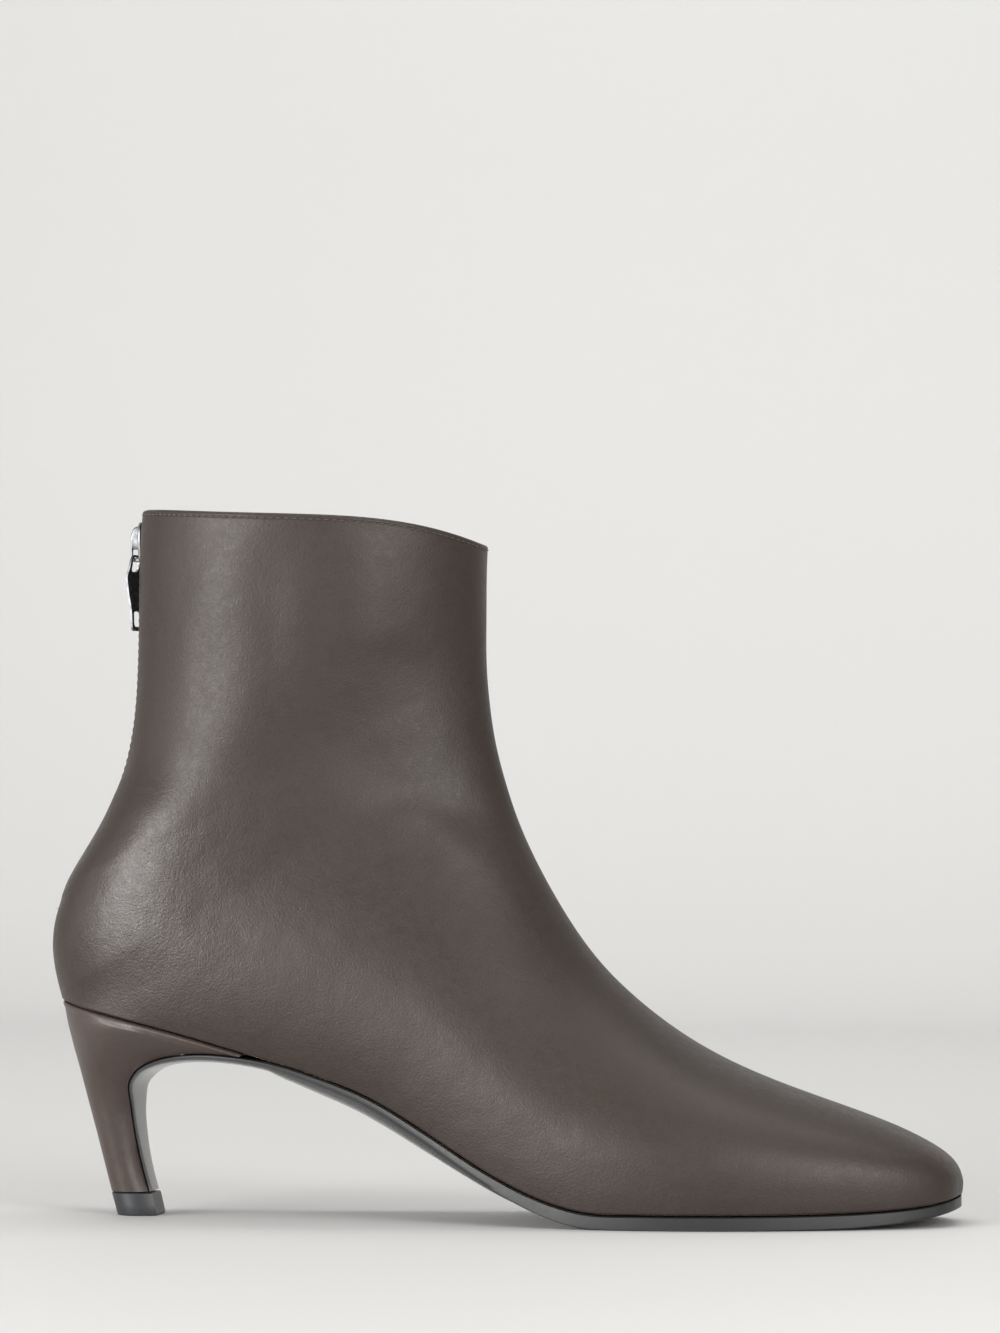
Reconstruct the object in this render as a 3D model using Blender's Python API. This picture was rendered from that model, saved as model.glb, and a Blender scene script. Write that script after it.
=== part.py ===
# Zip ankle boot on a slim curved heel, right foot.
# Tables are in millimetres and MM turns them into metres. The origin is the middle of the heel tip's
# ground face, +X points to the toe, -Y to the lateral side and +Z up.
import bpy
import bmesh
import math
import numpy as np

MM = 0.001

# Driving sizes, mm
WALL = 2.0              # upper: face leather and lining together
CLEAR = 0.3             # gap that neighbouring pieces keep
SOLE_GAP = 0.3          # upper and insole stand this far above sole and heel
INSOLE_THICK = 2.4
INSOLE_CLEAR = 0.9      # between the insole and the leaning inner wall
GROUND = 0.0
SLIT_HALF = 3.4         # half width of the zip slit in the leather
SLIT_BOTTOM = 83.0      # height of the lower end of the slit
SLIT_TOP_STEP = 1.2     # height over which the slit opens to its full width
HEEL_FRONT = 32.8       # front lip of the heel seat
TIP_LEVEL = 6.4         # joint between heel block and heel tip

COLLAR_ARCH = 27.0      # how strongly the collar line stays up before it dips at the front
COLLAR_ARCH_FROM = 150.0    # height at which that begins
EVENING = 0.45          # share by which a section is evened out against its neighbours
EDGE_INSET = 0.25       # sole and heel seat stay this far inside the feather line

# How finely the curved pieces are divided
STEPS_PER_ROW = 2
LOWER_STEPS = 5
UPPER_STEPS = 6

# The last, from the toe to the collar. Every row is one flat section across the boot: it runs from a
# bottom point on the feather line or the back seam (bx, bz) to a top point on the ridge or the shaft's
# front (tx, tz). fl and fm are the half widths of the feather line, wl and wm those of the body at its
# widest (lateral and medial), at the share "wide" of the way up. "full" and "round" are the exponents
# of the section's upper and lower part: 2 is an ellipse, more is fuller.
LAST_COLUMNS = ("bx", "bz", "fl", "fm", "tx", "tz", "wl", "wm", "wide", "full", "round")
LASTED_ROWS = (
    (220.1, 7.7, 0.0, 0.0, 220.3, 10.4, 0.0, 0.0, 0.45, 2.5, 2.0),
    (219.7, 7.5, 7.0, 7.5, 220.0, 12.5, 7.5, 8.0, 0.42, 2.5, 2.0),
    (218.5, 7.1, 12.4, 13.4, 218.7, 15.7, 13.3, 14.4, 0.4, 2.5, 2.0),
    (216.2, 6.5, 16.7, 17.9, 215.6, 18.6, 17.8, 19.2, 0.38, 2.4, 2.0),
    (212.3, 5.8, 20.2, 21.7, 211.1, 21.4, 21.4, 23.1, 0.36, 2.35, 2.0),
    (206.0, 5.1, 24.2, 25.4, 204.1, 24.9, 25.5, 27.0, 0.34, 2.3, 2.0),
    (196.8, 4.5, 28.3, 29.2, 194.8, 28.5, 29.8, 31.0, 0.32, 2.25, 2.0),
    (183.8, 4.1, 32.6, 32.8, 181.8, 33.0, 34.3, 34.7, 0.3, 2.2, 2.0),
    (169.8, 3.95, 36.3, 35.5, 167.8, 38.0, 38.1, 37.4, 0.28, 2.1, 2.0),
    (154.8, 3.9, 38.6, 36.6, 154.8, 44.0, 40.5, 38.6, 0.26, 2.0, 2.0),
    (139.8, 3.9, 39.1, 35.4, 144.4, 50.4, 41.1, 37.8, 0.26, 1.95, 2.0),
    (124.8, 4.3, 37.7, 31.8, 135.9, 57.0, 40.2, 35.2, 0.28, 1.9, 2.0),
    (111.8, 7.9, 35.5, 27.2, 129.3, 62.9, 38.6, 32.6, 0.31, 1.85, 2.0),
    (97.8, 14.7, 32.9, 22.6, 123.7, 68.9, 36.8, 30.6, 0.34, 1.8, 2.0),
    (82.8, 23.8, 29.8, 18.9, 118.5, 75.8, 35.2, 29.4, 0.37, 1.8, 2.0),
    (66.8, 32.9, 27.4, 17.2, 113.8, 83.3, 33.9, 29.0, 0.4, 1.8, 2.0),
    (49.8, 39.3, 26.4, 18.0, 109.8, 90.2, 33.0, 29.1, 0.41, 1.85, 2.05),
    (32.8, 44.3, 26.6, 20.9, 106.6, 96.4, 32.3, 29.4, 0.41, 1.85, 2.1),
    (15.8, 49.2, 26.8, 24.0, 103.8, 102.6, 31.8, 29.8, 0.4, 1.9, 2.2),
    (1.8, 52.8, 26.0, 25.0, 101.7, 108.0, 31.4, 30.1, 0.38, 1.9, 2.3),
    (-8.5, 55.2, 22.2, 22.0, 100.1, 112.9, 31.1, 30.2, 0.37, 1.9, 2.35),
    (-15.6, 56.9, 15.6, 15.6, 98.7, 117.5, 30.9, 30.2, 0.36, 1.95, 2.4),
    (-19.3, 57.8, 8.2, 8.2, 97.5, 121.9, 30.8, 30.2, 0.36, 1.95, 2.4),
    (-20.3, 58.1, 0.0, 0.0, 96.5, 126.3, 30.8, 30.3, 0.36, 1.95, 2.4),
)
# The closed back: the same columns without the feather widths, from the heel seat to the collar.
SHAFT_ROWS = (
    (-21.9, 64.0, 95.65, 131.0, 30.9, 30.4, 0.37, 2.0, 2.4),
    (-23.0, 71.0, 95.05, 135.6, 31.0, 30.6, 0.38, 2.0, 2.35),
    (-22.5, 78.0, 94.55, 140.2, 31.1, 30.8, 0.39, 2.0, 2.3),
    (-21.1, 83.0, 94.25, 144.0, 31.2, 31.0, 0.39, 2.0, 2.25),
    (-20.7, 84.2, 94.2, 144.9, 31.25, 31.05, 0.39, 2.0, 2.25),
    (-19.5, 88.0, 94.05, 147.6, 31.4, 31.2, 0.4, 2.0, 2.2),
    (-14.4, 97.0, 93.95, 152.4, 31.8, 31.6, 0.41, 2.0, 2.1),
    (-8.5, 107.0, 93.95, 157.0, 32.4, 32.2, 0.42, 2.0, 2.05),
    (-3.6, 119.0, 93.95, 161.6, 33.2, 33.0, 0.43, 2.0, 2.0),
    (-0.9, 132.0, 93.95, 166.0, 34.1, 33.9, 0.44, 2.0, 2.0),
    (0.1, 146.0, 93.95, 170.0, 34.9, 34.7, 0.44, 2.0, 2.0),
    (0.4, 161.0, 94.05, 173.4, 35.6, 35.4, 0.44, 2.0, 2.0),
    (0.6, 176.0, 94.15, 176.4, 36.1, 36.0, 0.44, 2.0, 2.0),
    (1.4, 188.7, 94.25, 179.0, 36.4, 36.3, 0.44, 2.0, 2.0),
)

# The outsole's section along the boot: edge height, height in the middle and the exponent of its
# underside. A high exponent is a flat tread with a square edge, 2 is a round bevelled waist.
# Columns: x, edge, crown, round.
SOLE_ROWS = (
    (41.8, 0.9, 4.3, 2.2),
    (55.0, 0.9, 5.6, 2.2),
    (70.0, 0.9, 6.4, 2.2),
    (84.0, 1.0, 6.0, 2.4),
    (96.0, 1.4, 4.7, 3.0),
    (108.0, 2.0, 3.6, 5.0),
    (120.0, 2.6, 3.8, 9.0),
    (152.0, 2.8, 3.8, 10.0),
    (190.0, 2.6, 3.8, 9.0),
    (208.0, 2.2, 3.4, 7.0),
    (220.0, 1.8, 2.8, 5.0),
)
# The breast: the line on which the sole's flap lies down the front of the heel, with its half widths
# and section as above.
# Columns: x, z, lateral and medial half width, edge, crown, round.
FLAP_ROWS = (
    (39.8, 41.85, 26.1, 19.4, 0.8, 3.3, 2.2),
    (34.3, 42.8, 25.9, 20.3, 0.8, 3.0, 2.2),
    (28.1, 43.5, 25.3, 21.0, 0.8, 2.8, 2.2),
    (20.7, 43.75, 23.6, 20.9, 0.8, 2.6, 2.2),
    (13.6, 43.1, 21.2, 19.6, 0.8, 2.3, 2.2),
    (7.4, 41.6, 18.2, 17.4, 0.8, 1.9, 2.2),
    (2.6, 39.2, 15.0, 14.6, 0.8, 1.5, 2.2),
    (-0.4, 35.6, 11.2, 11.0, 0.8, 1.2, 2.2),
    (-0.7, 29.6, 7.6, 7.6, 0.8, 1.0, 2.2),
    (0.2, 21.0, 5.7, 5.7, 0.8, 1.0, 2.2),
    (3.6, TIP_LEVEL, 4.4, 4.4, 0.8, 1.0, 2.2),
)
# The heel block: rings from the seat to the tip joint. Each is flat, from its back point (bx, bz) to
# the front point that it shares with the flap, "flap" rows down the table above. wl and wm are the
# half widths at the widest.
# Columns: bx, bz, flap, wl, wm.
HEEL_ROWS = (
    (-19.8, 55.6, 1.8, 26.2, 23.6),
    (-19.4, 53.6, 2.6, 25.2, 23.4),
    (-18.9, 51.2, 3.5, 23.4, 22.4),
    (-18.1, 48.2, 4.5, 20.8, 20.2),
    (-17.2, 44.5, 5.4, 17.8, 17.4),
    (-16.1, 40.4, 6.3, 14.7, 14.5),
    (-14.9, 35.6, 7.2, 12.1, 12.0),
    (-13.5, 30.0, 8.0, 10.2, 10.2),
    (-11.4, 22.0, 8.9, 8.6, 8.6),
    (-9.35, 14.0, 9.5, 7.6, 7.6),
    (-7.4, TIP_LEVEL, 10.0, 6.9, 6.9),
)
# The heel tip: level rings from the joint to the ground. Columns: back point x and z, front point x
# and z, half widths at the widest and half widths at the front (lateral, medial).
TIP_ROWS = (
    (-7.4, TIP_LEVEL - CLEAR, 4.6, TIP_LEVEL - CLEAR, 7.0, 7.0, 5.4, 5.4),
    (-5.9, 0.5, 5.9, 0.5, 7.0, 7.0, 5.4, 5.4),
    (-5.5, GROUND, 5.5, GROUND, 6.6, 6.6, 5.1, 5.1),
)

# Zip: depths are measured outwards from the back line of the leather, negative is inside it.
TAPE_HALF = 2.5
TAPE_DEPTH = (-1.9, -1.1)
TAPE_START = 0.5            # the tape begins this far above the full width of the slit
CHAIN_HALF = 2.6
CHAIN_DEPTH = (-0.8, -0.1)
TOOTH_DEPTH = 0.3           # how far a tooth stands above the groove beside it
TOOTH_PITCH = 2.6
CHAIN_BOTTOM = 89.0
STOP_HEIGHT = (86.8, 88.6)
STOP_HALF = 2.2
ZIP_TOP = 187.6
SLIDER_HEIGHT = (174.8, 185.8)
SLIDER_HALF = 3.5
SLIDER_DEPTH = (0.4, 1.15)
BAIL_HEIGHT = (175.2, 184.8)
BAIL_HALF = 0.45
BAIL_DEPTH = (3.05, 3.6)    # inner and outer face of the bar that holds the pin in
BAIL_OPENING = (176.3, 178.6)

# Pull tab, hanging: its pin lies in the bail, its plate bows away from the leather, and it is turned
# about the vertical, as far as the loose bail lets it, with its lateral edge outwards.
PIN_HEIGHT = 176.8
PIN_DEPTH = 2.18
PULL_TURN = 24.0            # degrees
# Columns: distance below the pin, depth of the plate's middle, half width.
PULL_ROWS = (
    (-0.3, 2.18, 1.65),
    (0.3, 2.18, 1.8),
    (2.0, 2.3, 2.3),
    (4.2, 2.78, 2.6),
    (5.1, 3.0, 2.75),
    (8.9, 2.76, 2.75),
    (14.9, 1.9, 2.45),
    (19.1, 1.72, 2.3),
    (20.2, 1.7, 2.15),
)
PULL_THICK = 0.6
EYE_HALF = 1.45            # half width of the opening around the bail
EYE_ROWS = (1, 3)           # rows between which the upper opening lies
WINDOW_HALF = 1.5           # half width of the lower window
WINDOW_ROWS = (6, 7)        # rows between which the window lies

MATERIALS = {
    "brown_leather": ((0.105, 0.078, 0.066), 0.42, 0.0),
    "lining_leather": ((0.50, 0.42, 0.33), 0.65, 0.0),
    "black_sole_leather": ((0.012, 0.012, 0.013), 0.25, 0.0),
    "heel_tip_rubber": ((0.018, 0.019, 0.021), 0.45, 0.0),
    "zip_textile": ((0.030, 0.025, 0.022), 0.85, 0.0),
    "gunmetal": ((0.14, 0.14, 0.15), 0.32, 1.0),
}


def clear_scene():
    for thing in list(bpy.data.objects):
        bpy.data.objects.remove(thing, do_unlink=True)


def material(name):
    """A Principled material from the table of colours."""
    found = bpy.data.materials.get(name)
    if found:
        return found
    colour, roughness, metallic = MATERIALS[name]
    made = bpy.data.materials.new(name)
    made.use_nodes = True
    shader = made.node_tree.nodes["Principled BSDF"]
    shader.inputs["Base Color"].default_value = (*colour, 1.0)
    shader.inputs["Roughness"].default_value = roughness
    shader.inputs["Metallic"].default_value = metallic
    return made


def add_piece(name, points, faces, finish, sharp=40.0, origin=(0.0, 0.0, 0.0)):
    """One object from millimetre points, with doubles merged and its faces turned outwards."""
    offset = np.array(origin)
    data = bpy.data.meshes.new(name)
    data.from_pydata([tuple((np.array(p) - offset) * MM) for p in points], [], faces)
    shape = bmesh.new()
    shape.from_mesh(data)
    bmesh.ops.remove_doubles(shape, verts=shape.verts, dist=0.01 * MM)
    bmesh.ops.dissolve_degenerate(shape, edges=shape.edges, dist=0.001 * MM)
    bmesh.ops.recalc_face_normals(shape, faces=shape.faces)
    shape.to_mesh(data)
    shape.free()
    data.shade_smooth()
    data.set_sharp_from_angle(angle=math.radians(sharp))
    piece = bpy.data.objects.new(name, data)
    piece.location = tuple(offset * MM)
    bpy.context.scene.collection.objects.link(piece)
    data.materials.append(material(finish))
    return piece


def curve_through(knots, values, at):
    """Smooth curve through table values: cubic pieces whose slopes follow the neighbouring rows."""
    knots = np.asarray(knots, float)
    values = np.asarray(values, float)
    gap = np.diff(knots)
    rise = np.diff(values) / gap
    slope = np.empty_like(values)
    slope[1:-1] = (rise[:-1] * gap[1:] + rise[1:] * gap[:-1]) / (gap[:-1] + gap[1:])
    slope[0] = rise[0] + (rise[0] - rise[1]) * gap[0] / (gap[0] + gap[1])
    slope[-1] = rise[-1] + (rise[-1] - rise[-2]) * gap[-1] / (gap[-1] + gap[-2])
    at = np.asarray(at, float)
    i = np.clip(np.searchsorted(knots, at, side="right") - 1, 0, len(gap) - 1)
    t = (at - knots[i]) / gap[i]
    start = (1 + 2 * t) * (1 - t) ** 2 * values[i] + t * (1 - t) ** 2 * gap[i] * slope[i]
    end = t * t * (3 - 2 * t) * values[i + 1] - t * t * (1 - t) * gap[i] * slope[i + 1]
    return start + end


def last_stations(steps):
    """Sections of the last as a dictionary of arrays, "steps" of them to each row of the tables."""
    lasted = np.array(LASTED_ROWS)
    shaft = np.array([(r[0], r[1], 0.0, 0.0) + r[2:] for r in SHAFT_ROWS])
    rows = np.vstack([lasted, shaft])
    back = len(lasted) - 1
    moved = np.diff(rows, axis=0)
    along = np.sqrt((moved[:, :4] ** 2).sum(axis=1)) + 0.35 * np.hypot(moved[:, 4], moved[:, 5])
    knots = np.concatenate([[0.0], np.cumsum(along)])
    count = (len(rows) - 1) * steps + 1
    at = np.interp(np.arange(count) / steps, np.arange(len(rows)), knots)
    stations = {"back": back * steps}
    for j, column in enumerate(LAST_COLUMNS):
        if column in ("bx", "bz", "fl", "fm"):
            first = at[:back * steps + 1]
            rest = at[back * steps + 1:]
            lower = curve_through(knots[:back + 1], rows[:back + 1, j], first)
            upper = curve_through(knots[back:], rows[back:, j], rest)
            stations[column] = np.concatenate([lower, upper])
        else:
            stations[column] = curve_through(knots, rows[:, j], at)
    slit = SLIT_HALF * np.clip((stations["bz"] - SLIT_BOTTOM) / SLIT_TOP_STEP, 0.0, 1.0)
    closed = np.arange(count) > back * steps
    for column in ("fl", "fm"):
        stations[column] = np.where(closed, slit, np.maximum(stations[column], 0.0))
    return stations


def half_section(foot, body, wide, full, round_low, lower_steps, upper_steps):
    """One side of a section: height share and half width from the feather to the ridge.

    Below the widest place it is a superellipse cut off at the feather width, above it a whole one.
    """
    body = max(body, 1e-4)
    cut = math.acos(min(foot / body, 0.9995) ** (round_low / 2.0))
    low = np.linspace(cut, 0.0, lower_steps + 1)
    low_share = wide * (1.0 - (np.sin(low) / math.sin(cut)) ** (2.0 / round_low))
    low_half = body * np.cos(low) ** (2.0 / round_low)
    high = np.linspace(0.0, math.pi / 2, upper_steps + 1)[1:]
    high_share = wide + (1.0 - wide) * np.sin(high) ** (2.0 / full)
    high_half = body * np.maximum(np.cos(high), 0.0) ** (2.0 / full)
    high_half[-1] = 0.0
    return np.concatenate([low_share, high_share]), np.concatenate([low_half, high_half])


def grid_faces(rows, columns, first=0):
    """Quads of a grid whose points are stored row by row."""
    faces = []
    for i in range(rows - 1):
        for j in range(columns - 1):
            a = first + i * columns + j
            faces.append((a, a + 1, a + columns + 1, a + columns))
    return faces


def even_out(points, passes=3):
    """Each inner point moves a little towards the mean of the same point of the sections beside it."""
    columns = len(points[0])
    near_edge = np.minimum(np.arange(columns), np.arange(columns)[::-1])
    share = EVENING * np.clip(near_edge / 3.0, 0.0, 1.0)[:, None]
    for _ in range(passes):
        old = [line.copy() for line in points]
        for i in range(2, len(points) - 2):
            points[i] = old[i] + share * ((old[i - 1] + old[i + 1]) / 2.0 - old[i])


def build_upper():
    """The leather wall: its outer face through all sections, thickened inwards."""
    last = last_stations(STEPS_PER_ROW)
    count = len(last["bx"])
    rise = (last["bz"] - COLLAR_ARCH_FROM) / (last["bz"][-1] - COLLAR_ARCH_FROM)
    arch = COLLAR_ARCH * np.clip(rise, 0.0, 1.0) ** 2
    points = []
    for i in range(count):
        bottom = np.array((last["bx"][i], last["bz"][i]))
        top = np.array((last["tx"][i], last["tz"][i]))
        line = []
        for foot, body, side in ((last["fl"][i], last["wl"][i], -1), (last["fm"][i], last["wm"][i], 1)):
            share, half = half_section(foot, body, last["wide"][i], last["full"][i],
                                       last["round"][i], LOWER_STEPS, UPPER_STEPS)
            x = bottom[0] + share * (top[0] - bottom[0])
            z = bottom[1] + share * (top[1] - bottom[1]) + arch[i] * share ** 3 * (1.0 - share)
            side_points = np.column_stack([x, side * half, z])
            line.append(side_points if side < 0 else side_points[-2::-1])
        points.append(np.vstack(line))
    columns = len(points[0])
    even_out(points)
    piece = add_piece("upper", np.vstack(points), grid_faces(count, columns), "brown_leather", 50.0)
    solid = piece.modifiers.new("wall", "SOLIDIFY")
    solid.thickness = WALL * MM
    solid.offset = -1.0
    solid.use_rim = True
    solid.use_quality_normals = True
    return piece


def feather_line(steps):
    """Plan outline and height of the feather line from the toe to the back of the heel."""
    last = last_stations(steps)
    end = last["back"] + 1
    return {name: last[name][:end] for name in ("bx", "bz", "fl", "fm")}


def inset_side(x, half, inset):
    """A side of the outline moved inwards by "inset", square to itself in plan."""
    dx = np.gradient(x)
    dy = np.gradient(half)
    dx[0] = 0.0
    dx[-1] = 0.0
    length = np.hypot(dx, dy)
    length[length == 0.0] = 1.0
    moved_x = x - inset * dy / length
    moved_half = half + inset * dx / length
    return moved_x, np.maximum(moved_half, 0.0)


def outline(steps, inset):
    """Lateral and medial edge points of the feather outline, moved inwards, with their heights."""
    line = feather_line(steps)
    sides = {}
    for name, column in (("lateral", "fl"), ("medial", "fm")):
        x, half = inset_side(line["bx"], line[column], inset)
        half[0] = 0.0
        half[-1] = 0.0
        order = np.argsort(line["bx"])
        z = np.interp(x, line["bx"][order], line["bz"][order])
        sides[name] = (x, half, z)
    return sides


def build_insole():
    """The board on the bottom of the inside, inside the wall all round."""
    sides = outline(STEPS_PER_ROW, WALL + INSOLE_CLEAR)
    xl, yl, zl = sides["lateral"]
    xm, ym, zm = sides["medial"]
    points = []
    for i in range(len(xl)):
        points.append((xl[i], -yl[i], zl[i]))
        points.append((xm[i], ym[i], zm[i]))
        points.append((xm[i], ym[i], zm[i] + INSOLE_THICK))
        points.append((xl[i], -yl[i], zl[i] + INSOLE_THICK))
    faces = []
    for i in range(len(xl) - 1):
        for j in range(4):
            a = 4 * i + j
            b = 4 * i + (j + 1) % 4
            faces.append((a, b, b + 4, a + 4))
    return add_piece("insole", points, faces, "lining_leather")


def flap_line(places):
    """Rows of the flap's table, read between its rows at the given places."""
    flap = np.array(FLAP_ROWS)
    gaps = np.hypot(np.diff(flap[:, 0]), np.diff(flap[:, 1]))
    knots = np.concatenate([[0.0], np.cumsum(gaps)])
    at = np.interp(places, np.arange(len(flap)), knots)
    return np.column_stack([curve_through(knots, flap[:, j], at) for j in range(flap.shape[1])])


def sole_path():
    """Stations of the outsole from the toe, under the waist and down the front of the heel."""
    sides = outline(STEPS_PER_ROW, EDGE_INSET)
    xl, yl, zl = sides["lateral"]
    xm, ym, _ = sides["medial"]
    table = np.array(SOLE_ROWS)
    keep = xl > FLAP_ROWS[0][0] + 4.0
    rows = []
    for i in np.flatnonzero(keep):
        section = [np.interp(xl[i], table[:, 0], table[:, j]) for j in (1, 2, 3)]
        rows.append((xl[i], xm[i], zl[i] - SOLE_GAP, yl[i], ym[i], *section))
    for x, z, yl_i, ym_i, edge, crown, power in flap_line(np.arange(2 * len(FLAP_ROWS) - 1) / 2.0):
        rows.append((x, x, z, yl_i, ym_i, edge, crown, power))
    return np.array(rows)


def build_outsole():
    """The sole: flat tread, bevelled waist and the flap down the breast, in one sweep."""
    path = sole_path()
    middle = (path[:, 0] + path[:, 1]) / 2.0
    run = np.column_stack([np.gradient(middle), np.gradient(path[:, 2])])
    run /= np.linalg.norm(run, axis=1)[:, None]
    steps = 5
    angle = np.linspace(0.0, math.pi / 2, steps + 1)
    points = []
    for i, (xl, xm, z, yl, ym, edge, crown, power) in enumerate(path):
        out = np.array((-run[i, 1], run[i, 0]))
        if xl > 150.0:
            out = np.array((0.0, -1.0))
        ring = [(xm, ym, z), (xl, -yl, z)]
        share = np.cos(angle) ** (2.0 / power)
        share[-1] = 0.0
        depth = edge + (crown - edge) * np.sin(angle) ** (2.0 / power)
        lateral = [(xl, -yl, share[j], depth[j]) for j in range(steps)]
        centre = [((xl + xm) / 2.0, 0.0, 1.0, depth[-1])]
        medial = [(xm, ym, share[j], depth[j]) for j in range(steps - 1, -1, -1)]
        for x, y, part, deep in lateral + centre + medial:
            low = max(z + out[1] * deep, GROUND)
            ring.append((x + out[0] * deep, y * part, low))
        points.extend(ring)
    size = len(ring)
    faces = []
    for i in range(len(path) - 1):
        for j in range(size):
            a = size * i + j
            b = size * i + (j + 1) % size
            faces.append((a, b, b + size, a + size))
    faces.append(tuple(range(size)))
    faces.append(tuple(size * (len(path) - 1) + j for j in range(size)))
    return add_piece("outsole", points, faces, "black_sole_leather", 35.0)


def ring_points(bx, bz, fx, fz, wl, wm, front_l, front_m, steps=7):
    """A heel ring as two lists of side points from the back to the breast: a D seen from above."""
    lateral = []
    medial = []
    middle = 0.5
    for j in range(steps + 1):
        t = j / steps
        if t <= 0.6:
            angle = math.pi / 2 * t / 0.6
            share = middle * (1.0 - math.cos(angle))
            width = math.sin(angle)
            taper = 0.0
        else:
            taper = ((t - 0.6) / 0.4) ** 2
            share = middle + (1.0 - middle) * (t - 0.6) / 0.4
            width = 1.0
        x = bx + share * (fx - bx)
        z = bz + share * (fz - bz)
        lateral.append((x, -width * (wl + taper * (front_l - wl)), z))
        medial.append((x, width * (wm + taper * (front_m - wm)), z))
    return lateral, medial


def seat_ring(steps=7):
    """The heel's top ring: the feather outline of the seat, just under the upper."""
    sides = outline(8, EDGE_INSET)
    ring = []
    xs = HEEL_FRONT - (HEEL_FRONT - sides["lateral"][0][-1]) * np.sin(
        np.linspace(math.pi / 2, 0.0, steps + 1))
    for name, side in (("lateral", -1.0), ("medial", 1.0)):
        x, half, z = sides[name]
        order = np.argsort(x)
        y = np.interp(xs, x[order], half[order])
        height = np.interp(xs, x[order], z[order]) - SOLE_GAP
        ring.append([(xs[j], side * y[j], height[j]) for j in range(steps + 1)])
    return ring[0], ring[1]


def stack_rings(name, rings, finish, sharp):
    """A solid from rings of paired side points, capped at both ends."""
    points = []
    for lateral, medial in rings:
        points.extend(lateral)
        points.extend(medial)
    n = len(rings[0][0])
    size = 2 * n
    loop = list(range(n)) + [n + j for j in range(n - 1, -1, -1)]
    faces = []
    for i in range(len(rings) - 1):
        for j in range(size):
            a = loop[j]
            b = loop[(j + 1) % size]
            faces.append((size * i + a, size * i + b, size * (i + 1) + b, size * (i + 1) + a))
    for i in (0, len(rings) - 1):
        for j in range(n - 1):
            base = size * i
            faces.append((base + j, base + j + 1, base + n + j + 1, base + n + j))
    return add_piece(name, points, faces, finish, sharp)


def build_heel():
    """The covered block: the seat ring and the rings of the table down to the tip joint."""
    table = np.array(HEEL_ROWS)
    knots = np.arange(len(table), dtype=float)
    at = np.arange(2 * len(table) - 1) / 2.0
    rows = np.column_stack([curve_through(knots, table[:, j], at) for j in range(table.shape[1])])
    flap = flap_line(rows[:, 2])
    ahead = flap_line(rows[:, 2] + 0.02) - flap_line(rows[:, 2] - 0.02)
    ahead[-1] = flap_line([10.0])[0] - flap_line([9.9])[0]
    length = np.hypot(ahead[:, 0], ahead[:, 1])
    rings = [seat_ring()]
    for i, (bx, bz, _, wl, wm) in enumerate(rows):
        fx = flap[i, 0] + CLEAR * ahead[i, 1] / length[i]
        fz = flap[i, 1] - CLEAR * ahead[i, 0] / length[i]
        if i == len(rows) - 1:
            fz = TIP_LEVEL
        rings.append(ring_points(bx, bz, fx, fz, wl, wm, flap[i, 2], flap[i, 3]))
    return stack_rings("heel", rings, "brown_leather", 45.0)


def build_top_piece():
    """The heel tip with its small ground bevel."""
    rings = [ring_points(*row) for row in TIP_ROWS]
    return stack_rings("top_piece", rings, "heel_tip_rubber", 30.0)


def back_line(heights):
    """Points of the back seam at the given heights, with the outward direction at each."""
    last = last_stations(8)
    start = last["back"]
    z = last["bz"][start:]
    x = last["bx"][start:]
    heights = np.asarray(heights, float)
    at = np.interp(heights, z, x)
    slope = (np.interp(heights + 0.5, z, x) - np.interp(heights - 0.5, z, x))
    slope[heights > z[-1] - 0.5] = slope[heights <= z[-1] - 0.5][-1]
    out = np.column_stack([-np.ones_like(slope), slope])
    out /= np.linalg.norm(out, axis=1)[:, None]
    return np.column_stack([at, heights]), out


def back_strip(name, heights, half, inner, outer, finish):
    """A strip along the back line, "outer" may be one depth or one for each height."""
    spots, out = back_line(heights)
    outer = np.broadcast_to(np.asarray(outer, float), (len(heights),))
    points = []
    for i in range(len(heights)):
        near = spots[i] + out[i] * inner
        far = spots[i] + out[i] * outer[i]
        points.append((near[0], -half, near[1]))
        points.append((far[0], -half, far[1]))
        points.append((far[0], half, far[1]))
        points.append((near[0], half, near[1]))
    faces = [(0, 1, 2, 3), tuple(4 * (len(heights) - 1) + j for j in range(4))]
    for i in range(len(heights) - 1):
        for j in range(4):
            a = 4 * i + j
            b = 4 * i + (j + 1) % 4
            faces.append((a, b, b + 4, a + 4))
    return add_piece(name, points, faces, finish, 30.0)


def build_zip():
    """Tape, closed chain and bottom stop in the slit."""
    low = SLIT_BOTTOM + SLIT_TOP_STEP + TAPE_START
    back_strip("zip_tape", np.linspace(low, ZIP_TOP, 30), TAPE_HALF, *TAPE_DEPTH, "zip_textile")
    top = SLIDER_HEIGHT[0] - CLEAR
    teeth = int((top - CHAIN_BOTTOM) / TOOTH_PITCH)
    pitch = (top - CHAIN_BOTTOM) / teeth
    groove = CHAIN_DEPTH[1]
    tooth = groove + TOOTH_DEPTH
    heights = []
    depths = []
    for i in range(teeth):
        base = CHAIN_BOTTOM + i * pitch
        heights.extend((base, base + 0.12 * pitch, base + 0.58 * pitch, base + 0.70 * pitch))
        depths.extend((groove, tooth, tooth, groove))
    heights.append(top)
    depths.append(groove)
    back_strip("zip_chain", heights, CHAIN_HALF, CHAIN_DEPTH[0], depths, "gunmetal")
    back_strip("zip_bottom_stop", STOP_HEIGHT, STOP_HALF, CHAIN_DEPTH[0], tooth, "gunmetal")


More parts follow.
